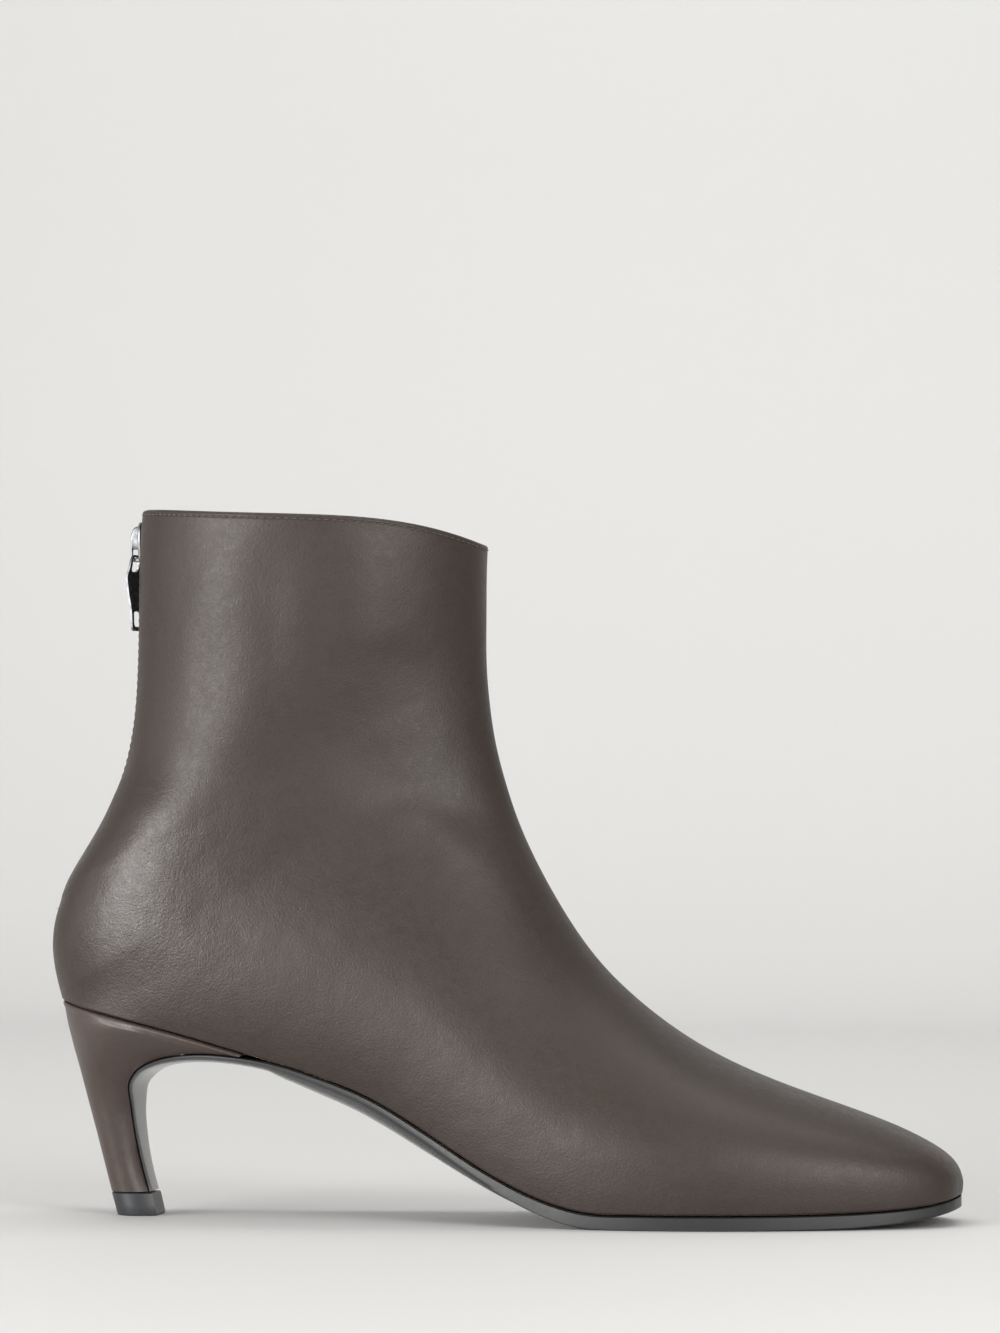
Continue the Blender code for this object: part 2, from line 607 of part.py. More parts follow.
def extrude_profile(name, outline_points, half, finish, sharp=30.0):
    """A flat outline in the centre plane, given as (x, z), thickened to both sides."""
    n = len(outline_points)
    points = [(x, -half, z) for x, z in outline_points]
    points += [(x, half, z) for x, z in outline_points]
    faces = [tuple(range(n)), tuple(range(2 * n - 1, n - 1, -1))]
    for j in range(n):
        k = (j + 1) % n
        faces.append((j, k, n + k, n + j))
    return add_piece(name, points, faces, finish, sharp)


def join_by_union(base, extra):
    """Makes "extra" one body with "base"."""
    union = base.modifiers.new("join", "BOOLEAN")
    union.operation = "UNION"
    union.solver = "EXACT"
    union.object = extra
    bpy.context.view_layer.update()
    depsgraph = bpy.context.evaluated_depsgraph_get()
    joined = bpy.data.meshes.new_from_object(base.evaluated_get(depsgraph))
    base.modifiers.clear()
    base.data = joined
    bpy.data.objects.remove(extra, do_unlink=True)
    return base


def build_slider():
    """Slider body over the chain, with the bail that carries the pull tab."""
    spot, _ = back_line([sum(SLIDER_HEIGHT) / 2.0])
    face = spot[0][0]
    low, high = SLIDER_HEIGHT
    near, far = SLIDER_DEPTH
    shoulder = 0.45
    length = high - low
    plan = ((-0.5, 0.0), (0.5, 0.0), (0.72, 0.10), (1.0, 0.55), (0.9, 0.92), (0.5, 1.0),
            (-0.5, 1.0), (-0.9, 0.92), (-1.0, 0.55), (-0.72, 0.10))
    levels = ((near, 1.0), (far - shoulder, 1.0), (far, 0.86))
    points = []
    for depth, scale in levels:
        for across, up in plan:
            z = low + length * (0.5 + (up - 0.5) * scale)
            points.append((face - depth, across * SLIDER_HALF * scale, z))
    n = len(plan)
    faces = [tuple(range(n)), tuple(2 * n + j for j in range(n - 1, -1, -1))]
    for i in range(len(levels) - 1):
        for j in range(n):
            k = (j + 1) % n
            faces.append((n * i + j, n * i + k, n * (i + 1) + k, n * (i + 1) + j))
    body = add_piece("zip_slider", points, faces, "gunmetal", 30.0)
    bail_low, bail_high = BAIL_HEIGHT
    open_low, open_high = BAIL_OPENING
    inner, outer = BAIL_DEPTH
    sunk = far - 0.4
    bend = 1.0
    bail = (
        (face - sunk, bail_low),
        (face - outer + bend, bail_low),
        (face - outer, bail_low + bend),
        (face - outer, bail_high - 2.5 * bend),
        (face - outer + 0.6 * bend, bail_high - 0.5 * bend),
        (face - outer + 1.4 * bend, bail_high),
        (face - sunk, bail_high),
        (face - sunk, open_high),
        (face - inner + 0.3, open_high),
        (face - inner, open_high - 0.3),
        (face - inner, open_low + 0.3),
        (face - inner + 0.3, open_low),
        (face - sunk, open_low),
    )
    loop = extrude_profile("bail", bail, BAIL_HALF, "gunmetal")
    return join_by_union(body, loop)


def build_pull():
    """The pull tab: pin and eye around the bail, bowed plate and the window near its end."""
    spot, _ = back_line([PIN_HEIGHT])
    face = spot[0][0]
    pin = (face - PIN_DEPTH, 0.0, PIN_HEIGHT)
    rows = np.array(PULL_ROWS)
    turn = math.radians(PULL_TURN)
    across_way = np.array((math.sin(turn), math.cos(turn), 0.0))
    out_way = np.array((-math.cos(turn), math.sin(turn), 0.0))
    down_way = np.array((0.0, 0.0, -1.0))
    holes = {}
    for i in range(EYE_ROWS[0], EYE_ROWS[1]):
        holes[i] = EYE_HALF
    for i in range(WINDOW_ROWS[0], WINDOW_ROWS[1]):
        holes[i] = WINDOW_HALF
    points = []
    for i, (drop, depth, half) in enumerate(rows):
        inner = WINDOW_HALF if i in WINDOW_ROWS else EYE_HALF
        slant = np.gradient(rows[:, 1])[i] / max(np.gradient(rows[:, 0])[i], 0.1)
        tilt = math.atan(slant)
        for across in (-half, -inner, inner, half):
            for side in (-0.5, 0.5):
                out = depth - PIN_DEPTH - side * PULL_THICK * math.cos(tilt)
                down = drop + side * PULL_THICK * math.sin(tilt)
                points.append(np.array(pin) + out_way * out + across_way * across + down_way * down)
    faces = []

    def spot_index(row, column, side):
        return row * 8 + column * 2 + side

    last = len(rows) - 1
    for i in range(last):
        for column in range(3):
            if column == 1 and i in holes:
                continue
            for side in (0, 1):
                faces.append((spot_index(i, column, side), spot_index(i, column + 1, side),
                              spot_index(i + 1, column + 1, side), spot_index(i + 1, column, side)))
        edges = [0, 3] + ([1, 2] if i in holes else [])
        for column in edges:
            faces.append((spot_index(i, column, 0), spot_index(i + 1, column, 0),
                          spot_index(i + 1, column, 1), spot_index(i, column, 1)))
    for row in (0, last):
        for column in range(3):
            faces.append((spot_index(row, column, 0), spot_index(row, column + 1, 0),
                          spot_index(row, column + 1, 1), spot_index(row, column, 1)))
    for i in range(1, last):
        above = i - 1 in holes
        below = i in holes
        if above != below:
            faces.append((spot_index(i, 1, 0), spot_index(i, 2, 0),
                          spot_index(i, 2, 1), spot_index(i, 1, 1)))
    return add_piece("zip_pull", points, faces, "gunmetal", 30.0, pin)


def build_boot():
    clear_scene()
    build_upper()
    build_insole()
    build_outsole()
    build_heel()
    build_top_piece()
    build_zip()
    build_slider()
    build_pull()


build_boot()
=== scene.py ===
# Zip ankle boot on a slim curved heel: the fine model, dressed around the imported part.
# Lengths in the dictionaries are millimetres and mm turns them into metres.
# +X points to the toe, -Y to the lateral side, +Z up, and the floor is z = 0.
import math
import bmesh
import bpy
import numpy as np
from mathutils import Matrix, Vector


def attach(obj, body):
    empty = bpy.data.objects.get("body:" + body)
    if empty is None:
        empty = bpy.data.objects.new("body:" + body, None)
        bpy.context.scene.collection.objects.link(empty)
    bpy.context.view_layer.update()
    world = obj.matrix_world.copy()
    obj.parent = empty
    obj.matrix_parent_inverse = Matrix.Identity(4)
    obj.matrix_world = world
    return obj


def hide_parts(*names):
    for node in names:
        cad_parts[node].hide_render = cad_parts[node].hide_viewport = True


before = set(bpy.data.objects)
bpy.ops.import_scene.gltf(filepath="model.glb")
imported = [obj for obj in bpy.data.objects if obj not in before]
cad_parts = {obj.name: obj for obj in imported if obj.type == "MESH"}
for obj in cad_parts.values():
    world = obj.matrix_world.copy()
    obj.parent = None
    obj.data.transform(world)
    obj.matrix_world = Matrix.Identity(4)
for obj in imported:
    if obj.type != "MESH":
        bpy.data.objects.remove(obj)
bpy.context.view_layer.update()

mm = 0.001


def putMesh(name, points, quads, material, body, sharp=40.0, merge=0.002):
    # points in mm as one array, faces as an index array; doubles merged, faces turned outwards
    data = bpy.data.meshes.new(name)
    points = np.asarray(points, float).reshape(-1, 3) * mm
    quads = np.asarray(quads, int)
    data.vertices.add(len(points))
    data.vertices.foreach_set("co", points.ravel())
    size = quads.shape[1]
    data.loops.add(quads.size)
    data.loops.foreach_set("vertex_index", quads.ravel())
    data.polygons.add(len(quads))
    data.polygons.foreach_set("loop_start", np.arange(0, quads.size, size))
    data.update(calc_edges=True)
    data.validate()
    shape = bmesh.new()
    shape.from_mesh(data)
    bmesh.ops.remove_doubles(shape, verts=shape.verts, dist=merge * mm)
    bmesh.ops.dissolve_degenerate(shape, edges=shape.edges, dist=0.0005 * mm)
    bmesh.ops.recalc_face_normals(shape, faces=shape.faces)
    shape.to_mesh(data)
    shape.free()
    data.shade_smooth()
    data.set_sharp_from_angle(angle=math.radians(sharp))
    piece = bpy.data.objects.new(name, data)
    bpy.context.scene.collection.objects.link(piece)
    data.materials.append(material)
    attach(piece, body)
    return piece


def gridQuads(rows, columns, first=0, closed=False):
    # quads of a rows x columns grid of points; closed joins the last column to the first
    i, j = np.meshgrid(np.arange(rows - 1), np.arange(columns if closed else columns - 1), indexing="ij")
    a = first + i * columns + j
    b = first + i * columns + (j + 1) % columns
    return np.stack([a, b, b + columns, a + columns], axis=-1).reshape(-1, 4)


def endCaps(rows, columns):
    # a closed sweep's first and last ring, each filled by quads that join mirrored points
    j = np.arange(columns // 2 - 1)
    first = np.stack([j, j + 1, columns - 2 - j, columns - 1 - j], axis=-1)
    return np.vstack([first, first + (rows - 1) * columns])


def sweepQuads(rows, columns):
    # faces of a closed solid made of rings
    return np.vstack([gridQuads(rows, columns, closed=True), endCaps(rows, columns)])


def squared(wave, power):
    # a sine or cosine with its sign kept and its size raised to a power, for rounded rectangles
    return np.sign(wave) * np.abs(wave) ** power


def shellQuads(rows, columns, openRows):
    # outer grid, then inner grid, then rims: last row, and both side columns where the row is open
    count = rows * columns
    outer = gridQuads(rows, columns)
    inner = gridQuads(rows, columns, count)[:, ::-1]
    j = np.arange(columns - 1) + (rows - 1) * columns
    top = np.stack([j, j + 1, j + 1 + count, j + count], axis=-1)
    i = np.arange(rows - 1)[openRows]
    left = np.stack([i * columns, (i + 1) * columns, (i + 1) * columns + count, i * columns + count], axis=-1)
    right = left + columns - 1
    return np.vstack([outer, inner, top, left, right])


def curveThrough(knots, values, at):
    # cubic pieces through the rows; the slope at a row is its neighbours', weighted by distance
    knots = np.asarray(knots, float)
    values = np.asarray(values, float)
    wide = (-1,) + (1,) * (values.ndim - 1)
    gap = np.diff(knots).reshape(wide)
    rise = np.diff(values, axis=0) / gap
    slope = np.empty_like(values)
    slope[1:-1] = (rise[:-1] * gap[1:] + rise[1:] * gap[:-1]) / (gap[:-1] + gap[1:])
    slope[0] = rise[0] + (rise[0] - rise[1]) * gap[0] / (gap[0] + gap[1])
    slope[-1] = rise[-1] + (rise[-1] - rise[-2]) * gap[-1] / (gap[-1] + gap[-2])
    i = np.clip(np.searchsorted(knots, at, side="right") - 1, 0, len(knots) - 2)
    step = gap[i]
    t = (np.asarray(at, float) - knots[i]).reshape(wide) / step
    start = (1 + 2 * t) * (1 - t) ** 2 * values[i] + t * (1 - t) ** 2 * step * slope[i]
    end = t * t * (3 - 2 * t) * values[i + 1] - t * t * (1 - t) * step * slope[i + 1]
    return start + end


def lengthAlong(grid, axis):
    # running length of a grid's lines, 0 at their first point
    step = np.linalg.norm(np.diff(grid, axis=axis), axis=-1)
    start = np.zeros_like(np.take(step, [0], axis=axis))
    return np.concatenate([start, np.cumsum(step, axis=axis)], axis=axis)


def pointsAtLength(grid, length, wanted):
    # for every column of the grid, its values at the wanted lengths (same number of columns)
    below = (length[None] <= wanted[:, None]).sum(axis=1) - 1
    below = np.clip(below, 0, len(length) - 2)
    low = np.take_along_axis(length, below, axis=0)
    high = np.take_along_axis(length, below + 1, axis=0)
    t = np.clip((wanted - low) / np.maximum(high - low, 1e-9), 0.0, 1.0)[..., None]
    a = np.take_along_axis(grid, below[..., None], axis=0)
    b = np.take_along_axis(grid, below[..., None] + 1, axis=0)
    return a + t * (b - a)


def newMaterial(name, **values):
    made = bpy.data.materials.new(name)
    made.use_nodes = True
    tree = made.node_tree
    shader = tree.nodes["Principled BSDF"]
    for key, value in values.items():
        socket = shader.inputs[key.replace("_", " ")]
        socket.default_value = (*value, 1.0) if isinstance(value, tuple) else value
    place = tree.nodes.new("ShaderNodeTexCoord").outputs["Object"]
    return made, tree, shader, place


def addNode(tree, kind, links=(), **values):
    node = tree.nodes.new("ShaderNode" + kind)
    for key, value in values.items():
        if hasattr(node, key):
            setattr(node, key, value)
        else:
            node.inputs[key.replace("_", " ")].default_value = value
    for socket, source in dict(links).items():
        tree.links.new(source, node.inputs[socket])
    return node


def noiseOn(tree, place, scale, detail=3.0, rough=0.55):
    made = addNode(tree, "TexNoise", {"Vector": place}, Scale=scale, Detail=detail, Roughness=rough)
    return made.outputs["Fac"]


def rampOn(tree, source, low, high, first, last):
    node = addNode(tree, "MapRange", {"Value": source}, clamp=True)
    node.inputs["From Min"].default_value = low
    node.inputs["From Max"].default_value = high
    node.inputs["To Min"].default_value = first
    node.inputs["To Max"].default_value = last
    return node.outputs["Result"]


def mixColours(tree, share, first, second):
    node = addNode(tree, "Mix", data_type="RGBA")
    tree.links.new(share, node.inputs["Factor"])
    node.inputs[6].default_value = (*first, 1.0)
    node.inputs[7].default_value = (*second, 1.0)
    return node.outputs[2]


def combine(tree, kind, first, second):
    node = addNode(tree, "Math", operation=kind)
    for socket, value in zip(node.inputs, (first, second)):
        if isinstance(value, float):
            socket.default_value = value
        else:
            tree.links.new(value, socket)
    return node.outputs[0]


def bumpFrom(tree, shader, height, depth, strength=1.0, before=None):
    node = addNode(tree, "Bump", {"Height": height}, Strength=strength, Distance=depth)
    if before is not None:
        tree.links.new(before, node.inputs["Normal"])
    tree.links.new(node.outputs["Normal"], shader.inputs["Normal"])
    return node.outputs["Normal"]


leatherLook = {
    "dark": (0.0202, 0.0136, 0.0107),   # colour in the valleys of the grain
    "mid": (0.0308, 0.0209, 0.0167),
    "grain": 1500.0,                    # grains per metre
    "grainDepth": 0.00011,
    "pore": 3000.0,
    "poreDepth": 0.00003,
    "swell": 0.0007,                    # depth of the soft swells, metres
    "glossy": 0.41, "dull": 0.57,       # roughness on the grains and between them
    "rub": 0.16,                        # taken off the roughness where the leather is rubbed
    "rubbedAt": (0.004, 0.0, 0.082),    # middle of the rubbed place, on the heel's counter
    "coat": 0.06,
}


def makeLeather(name, look):
    # smooth calf: soft swells, pebbled grain of small cells, fine pores, colour drift, satin finish that
    # is rubbed glossier over the heel's counter
    made, tree, shader, place = newMaterial(name, Roughness=0.42, Coat_Weight=look["coat"],
                                            Coat_Roughness=0.34, Specular_IOR_Level=0.36)
    cells = noiseOn(tree, place, look["grain"], 2.0, 0.6)
    pores = noiseOn(tree, place, look["pore"], 2.0)
    drift = noiseOn(tree, place, 38.0, 2.0)
    mottle = noiseOn(tree, place, 420.0, 3.0)
    share = combine(tree, "MULTIPLY", drift, 0.35)
    share = combine(tree, "ADD", share, combine(tree, "MULTIPLY", mottle, 0.25))
    share = combine(tree, "ADD", share, combine(tree, "MULTIPLY", cells, 0.4))
    tree.links.new(mixColours(tree, rampOn(tree, share, 0.3, 0.7, 0.0, 1.0), look["dark"], look["mid"]),
                   shader.inputs["Base Color"])
    rough = rampOn(tree, combine(tree, "ADD", combine(tree, "MULTIPLY", cells, 1.2), mottle), 0.75, 1.45,
                   look["glossy"], look["dull"])
    flat = addNode(tree, "VectorMath", {0: place}, operation="MULTIPLY")
    flat.inputs[1].default_value = (1.0, 0.0, 1.0)
    gap = addNode(tree, "VectorMath", {0: flat.outputs["Vector"]}, operation="DISTANCE")
    gap.inputs[1].default_value = look["rubbedAt"]
    rubbed = rampOn(tree, gap.outputs["Value"], 0.010, 0.048, look["rub"], 0.0)
    tree.links.new(combine(tree, "SUBTRACT", rough, rubbed), shader.inputs["Roughness"])
    swells = noiseOn(tree, place, 95.0, 2.0, 0.45)
    first = bumpFrom(tree, shader, swells, look["swell"], 0.5)
    second = bumpFrom(tree, shader, cells, look["grainDepth"], 0.9, first)
    bumpFrom(tree, shader, pores, look["poreDepth"], 0.8, second)
    return made


brownLeather = makeLeather("brownLeather", leatherLook)
heelLeather = makeLeather("heelLeather", {
    **leatherLook, "dark": (0.039, 0.028, 0.0245), "mid": (0.058, 0.043, 0.0375),
    "grainDepth": 0.00004, "glossy": 0.33, "dull": 0.45, "rub": 0.0})
liningLeather = makeLeather("liningLeather", {
    **leatherLook, "dark": (0.36, 0.28, 0.20), "mid": (0.45, 0.36, 0.27), "grain": 900.0,
    "grainDepth": 0.00006, "pore": 2600.0, "poreDepth": 0.00004, "glossy": 0.55, "dull": 0.7, "rub": 0.0,
    "coat": 0.0})


def makeSoleLeather():
    # dull black edge; where the sole faces down (its own attribute "down") it is polished, and its colour is
    # turned grey there as a painted reflection of the bright floor; the tread face below 0.6 mm is matt and a
    # little scuffed
    made, tree, shader, place = newMaterial("soleLeather", Roughness=0.4)
    height = addNode(tree, "SeparateXYZ", {"Vector": place}).outputs["Z"]
    tread = rampOn(tree, height, 0.0004, 0.0012, 1.0, 0.0)
    down = addNode(tree, "Attribute", attribute_name="down").outputs["Fac"]
    fibres = noiseOn(tree, place, 900.0, 4.0)
    polished = rampOn(tree, down, 0.0, 1.0, 0.42, 0.13)
    rough = combine(tree, "MAXIMUM", polished, rampOn(tree, tread, 0.0, 1.0, 0.0, 0.62))
    rough = combine(tree, "ADD", rough, rampOn(tree, fibres, 0.3, 0.7, 0.0, 0.06))
    tree.links.new(rough, shader.inputs["Roughness"])
    # painted reflection: grey base colour where the sole faces down or forward, standing in for the bright
    # floor mirrored in the polished edge
    paintedReflection = combine(tree, "MULTIPLY", down, rampOn(tree, fibres, 0.3, 0.7, 0.85, 1.0))
    tree.links.new(mixColours(tree, paintedReflection, (0.012, 0.012, 0.013), (0.085, 0.086, 0.088)),
                   shader.inputs["Base Color"])
    bumpFrom(tree, shader, fibres, 0.00003, 0.5)
    return made


soleLeather = makeSoleLeather()


def makeTipRubber():
    made, tree, shader, place = newMaterial("tipRubber", Roughness=0.42)
    specks = noiseOn(tree, place, 2400.0, 3.0)
    tree.links.new(mixColours(tree, specks, (0.014, 0.0155, 0.0175), (0.024, 0.026, 0.029)),
                   shader.inputs["Base Color"])
    tree.links.new(rampOn(tree, specks, 0.3, 0.7, 0.36, 0.5), shader.inputs["Roughness"])
    bumpFrom(tree, shader, specks, 0.00003, 0.6)
    return made


tipRubber = makeTipRubber()


def makeGunmetal():
    # dark plated zinc: rubbed a little brighter in patches, with a fine cast texture
    made, tree, shader, place = newMaterial("gunmetal", Metallic=1.0, Roughness=0.3)
    rubbed = noiseOn(tree, place, 700.0, 3.0)
    fine = noiseOn(tree, place, 5200.0, 2.0)
    tree.links.new(mixColours(tree, rampOn(tree, rubbed, 0.35, 0.7, 0.0, 1.0), (0.13, 0.135, 0.145),
                              (0.27, 0.275, 0.29)), shader.inputs["Base Color"])
    tree.links.new(rampOn(tree, fine, 0.3, 0.7, 0.34, 0.48), shader.inputs["Roughness"])
    bumpFrom(tree, shader, fine, 0.00002, 0.5)
    return made


gunmetal = makeGunmetal()


def makeTextile(name, low, high, pitch):
    # woven tape: two crossing waves of threads, read along the piece's own height and width
    made, tree, shader, place = newMaterial(name, Roughness=0.85, Sheen_Weight=0.2)
    warp = addNode(tree, "TexWave", {"Vector": place}, bands_direction="Y", Scale=pitch, Distortion=0.6,
                   Detail=1.0).outputs["Fac"]
    weft = addNode(tree, "TexWave", {"Vector": place}, bands_direction="Z", Scale=pitch, Distortion=0.6,
                   Detail=1.0).outputs["Fac"]
    weave = combine(tree, "MAXIMUM", warp, weft)
    tree.links.new(mixColours(tree, weave, low, high), shader.inputs["Base Color"])
    bumpFrom(tree, shader, weave, 0.00012, 0.8)
    return made


tapeCloth = makeTextile("tapeCloth", (0.014, 0.011, 0.010), (0.040, 0.032, 0.028), 320.0)


def makeThread():
    made, tree, shader, place = newMaterial("thread", Roughness=0.6, Sheen_Weight=0.15)
    twist = addNode(tree, "TexWave", {"Vector": place}, bands_direction="DIAGONAL", Scale=900.0,
                    Distortion=0.3).outputs["Fac"]
    tree.links.new(mixColours(tree, twist, (0.020, 0.012, 0.010), (0.052, 0.034, 0.028)),
                   shader.inputs["Base Color"])
    bumpFrom(tree, shader, twist, 0.00006, 0.7)
    return made


thread = makeThread()
print("materials made")


# Each row is one flat section: a bottom point on the feather line or the back seam (x, z), the feather
# half widths (lateral, medial), a top point on the ridge or the shaft's front (x, z), the body's half
# widths, the height share of the widest place, and the fullness above and below it. The shaft's rows
# leave out the feather half widths, because the back seam and the zip slit close them there.
last = {
    "lasted": (
        (220.1, 7.7, 0, 0, 220.3, 10.4, 0, 0, 0.45, 2.5, 2.0),
        (219.7, 7.5, 7, 7.5, 220, 12.5, 7.5, 8, 0.42, 2.5, 2.0),
        (218.5, 7.1, 12.4, 13.4, 218.7, 15.7, 13.3, 14.4, 0.4, 2.5, 2.0),
        (216.2, 6.5, 16.7, 17.9, 215.6, 18.6, 17.8, 19.2, 0.38, 2.4, 2.0),
        (212.3, 5.8, 20.2, 21.7, 211.1, 21.4, 21.4, 23.1, 0.36, 2.35, 2.0),
        (206, 5.1, 24.2, 25.4, 204.1, 24.9, 25.5, 27, 0.34, 2.3, 2.0),
        (196.8, 4.5, 28.3, 29.2, 194.8, 28.5, 29.8, 31, 0.32, 2.25, 2.0),
        (183.8, 4.1, 32.6, 32.8, 181.8, 33, 34.3, 34.7, 0.3, 2.2, 2.0),
        (169.8, 3.95, 36.3, 35.5, 167.8, 38, 38.1, 37.4, 0.28, 2.1, 2.0),
        (154.8, 3.9, 38.6, 36.6, 154.8, 44, 40.5, 38.6, 0.26, 2.0, 2.0),
        (139.8, 3.9, 39.1, 35.4, 144.4, 50.4, 41.1, 37.8, 0.26, 1.95, 2.0),
        (124.8, 4.3, 37.7, 31.8, 135.9, 57, 40.2, 35.2, 0.28, 1.9, 2.0),
        (111.8, 7.9, 35.5, 27.2, 129.3, 62.9, 38.6, 32.6, 0.31, 1.85, 2.0),
        (97.8, 14.7, 32.9, 22.6, 123.7, 68.9, 36.8, 30.6, 0.34, 1.8, 2.0),
        (82.8, 23.8, 29.8, 18.9, 118.5, 75.8, 35.2, 29.4, 0.37, 1.8, 2.0),
        (66.8, 32.9, 27.4, 17.2, 113.8, 83.3, 33.9, 29, 0.4, 1.8, 2.0),
        (49.8, 39.3, 26.4, 18, 109.8, 90.2, 33, 29.1, 0.41, 1.85, 2.05),
        (32.8, 44.3, 26.6, 20.9, 106.6, 96.4, 32.3, 29.4, 0.41, 1.85, 2.1),
        (15.8, 49.2, 26.8, 24, 103.8, 102.6, 31.8, 29.8, 0.4, 1.9, 2.2),
        (1.8, 52.8, 26, 25, 101.7, 108, 31.4, 30.1, 0.38, 1.9, 2.3),
        (-8.5, 55.2, 22.2, 22, 100.1, 112.9, 31.1, 30.2, 0.37, 1.9, 2.35),
        (-15.6, 56.9, 15.6, 15.6, 98.7, 117.5, 30.9, 30.2, 0.36, 1.95, 2.4),
        (-19.3, 57.8, 8.2, 8.2, 97.5, 121.9, 30.8, 30.2, 0.36, 1.95, 2.4),
        (-20.3, 58.1, 0, 0, 96.5, 126.3, 30.8, 30.3, 0.36, 1.95, 2.4)),
    "shaft": (
        (-21.9, 64, 95.65, 131, 30.9, 30.4, 0.37, 2.0, 2.4),
        (-23, 71, 95.05, 135.6, 31, 30.6, 0.38, 2.0, 2.35),
        (-22.5, 78, 94.55, 140.2, 31.1, 30.8, 0.39, 2.0, 2.3),
        (-21.1, 83, 94.25, 144, 31.2, 31, 0.39, 2.0, 2.25),
        (-20.7, 84.2, 94.2, 144.9, 31.25, 31.05, 0.39, 2.0, 2.25),
        (-19.5, 88, 94.05, 147.6, 31.4, 31.2, 0.4, 2.0, 2.2),
        (-14.4, 97, 93.95, 152.4, 31.8, 31.6, 0.41, 2.0, 2.1),
        (-8.5, 107, 93.95, 157, 32.4, 32.2, 0.42, 2.0, 2.05),
        (-3.6, 119, 93.95, 161.6, 33.2, 33, 0.43, 2.0, 2.0),
        (-0.9, 132, 93.95, 166, 34.1, 33.9, 0.44, 2.0, 2.0),
        (0.1, 146, 93.95, 170, 34.9, 34.7, 0.44, 2.0, 2.0),
        (0.4, 161, 94.05, 173.4, 35.6, 35.4, 0.44, 2.0, 2.0),
        (0.6, 176, 94.15, 176.4, 36.1, 36, 0.44, 2.0, 2.0),
        (1.4, 188.7, 94.25, 179, 36.4, 36.3, 0.44, 2.0, 2.0)),
    "slitHalf": 3.4, "slitBottom": 83.0, "slitStep": 1.2,
    "archRise": 27.0, "archFrom": 150.0,
}


def lastStations(steps):
    # sections between the table rows; feather and back seam columns turn a corner at the heel back
    lasted = np.array(last["lasted"], float)
    shaft = np.array(last["shaft"], float)
    shaft = np.hstack([shaft[:, :2], np.zeros((len(shaft), 2)), shaft[:, 2:]])
    rows = np.vstack([lasted, shaft])
    back = len(lasted) - 1
    moved = np.diff(rows, axis=0)
    along = np.sqrt((moved[:, :4] ** 2).sum(axis=1)) + 0.35 * np.hypot(moved[:, 4], moved[:, 5])
    knots = np.concatenate([[0.0], np.cumsum(along)])
    count = (len(rows) - 1) * steps + 1
    at = np.interp(np.arange(count) / steps, np.arange(len(rows)), knots)
    seam = back * steps
    low = np.vstack([curveThrough(knots[:back + 1], rows[:back + 1, :4], at[:seam + 1]),
                     curveThrough(knots[back:], rows[back:, :4], at[seam + 1:])])
    table = np.hstack([low, curveThrough(knots, rows[:, 4:], at)])
    slit = last["slitHalf"] * np.clip((table[:, 1] - last["slitBottom"]) / last["slitStep"], 0.0, 1.0)
    closed = (np.arange(count) > seam)[:, None]
    table[:, 2:4] = np.where(closed, slit[:, None], np.maximum(table[:, 2:4], 0.0))
    return table, at, seam


def sectionSide(foot, body, wide, full, roundLow, low, high):
    # below the widest place a superellipse cut off at the feather width, above it a whole quarter;
    # low runs 1..0 and high 0..1 as shares of the two angles
    body = np.maximum(body, 1e-4)
    cut = np.arccos(np.minimum(foot / body, 0.9995) ** (roundLow / 2))
    lowAngle = cut * low
    lowShare = wide * (1 - (np.sin(lowAngle) / np.sin(cut)) ** (2 / roundLow))
    lowHalf = body * np.cos(lowAngle) ** (2 / roundLow)
    highAngle = np.pi / 2 * high
    highShare = wide + (1 - wide) * np.sin(highAngle) ** (2 / full)
    highHalf = body * np.maximum(np.cos(highAngle), 0.0) ** (2 / full)
    highHalf[:, -1] = 0.0
    return np.hstack([lowShare, highShare]), np.hstack([lowHalf, highHalf])


leather = {
    "lower": 30, "higher": 34,          # steps below and above the widest place
    "edgeCrowd": 1.6,                   # more than 1 crowds the lower steps to the edge
    "rowSteps": 3,                      # rows between two sections
    "collarRows": 12,                   # spread rows on the upper shaft
    "collarDistances": (5.5, 4.2, 3.2, 2.5, 2.1, 1.85, 1.65, 1.5, 1.35, 1.2, 1.05, 0.9),
    "wall": 1.2, "foldWall": 2.0,       # leather alone, and folded over at the collar
    "lipSteps": 6,
    "coarse": (5, 6),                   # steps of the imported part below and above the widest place
    "evening": 0.45, "evenings": 3,     # a section is evened out this much, this many times
    "corner": 1.2,                      # coarse steps over which the heel's corner fades out
    "shaftStations": 6, "shaftSamples": 90,
    "edgeRoll": 0.85,                   # radius of the turned edge at the sole and at the zip
    "seamDepth": 0.24, "seamWidth": 0.32,
    "stitchLine": 1.35,                 # distance of the collar stitching from the edge
    "stitchDepth": 0.13,
}


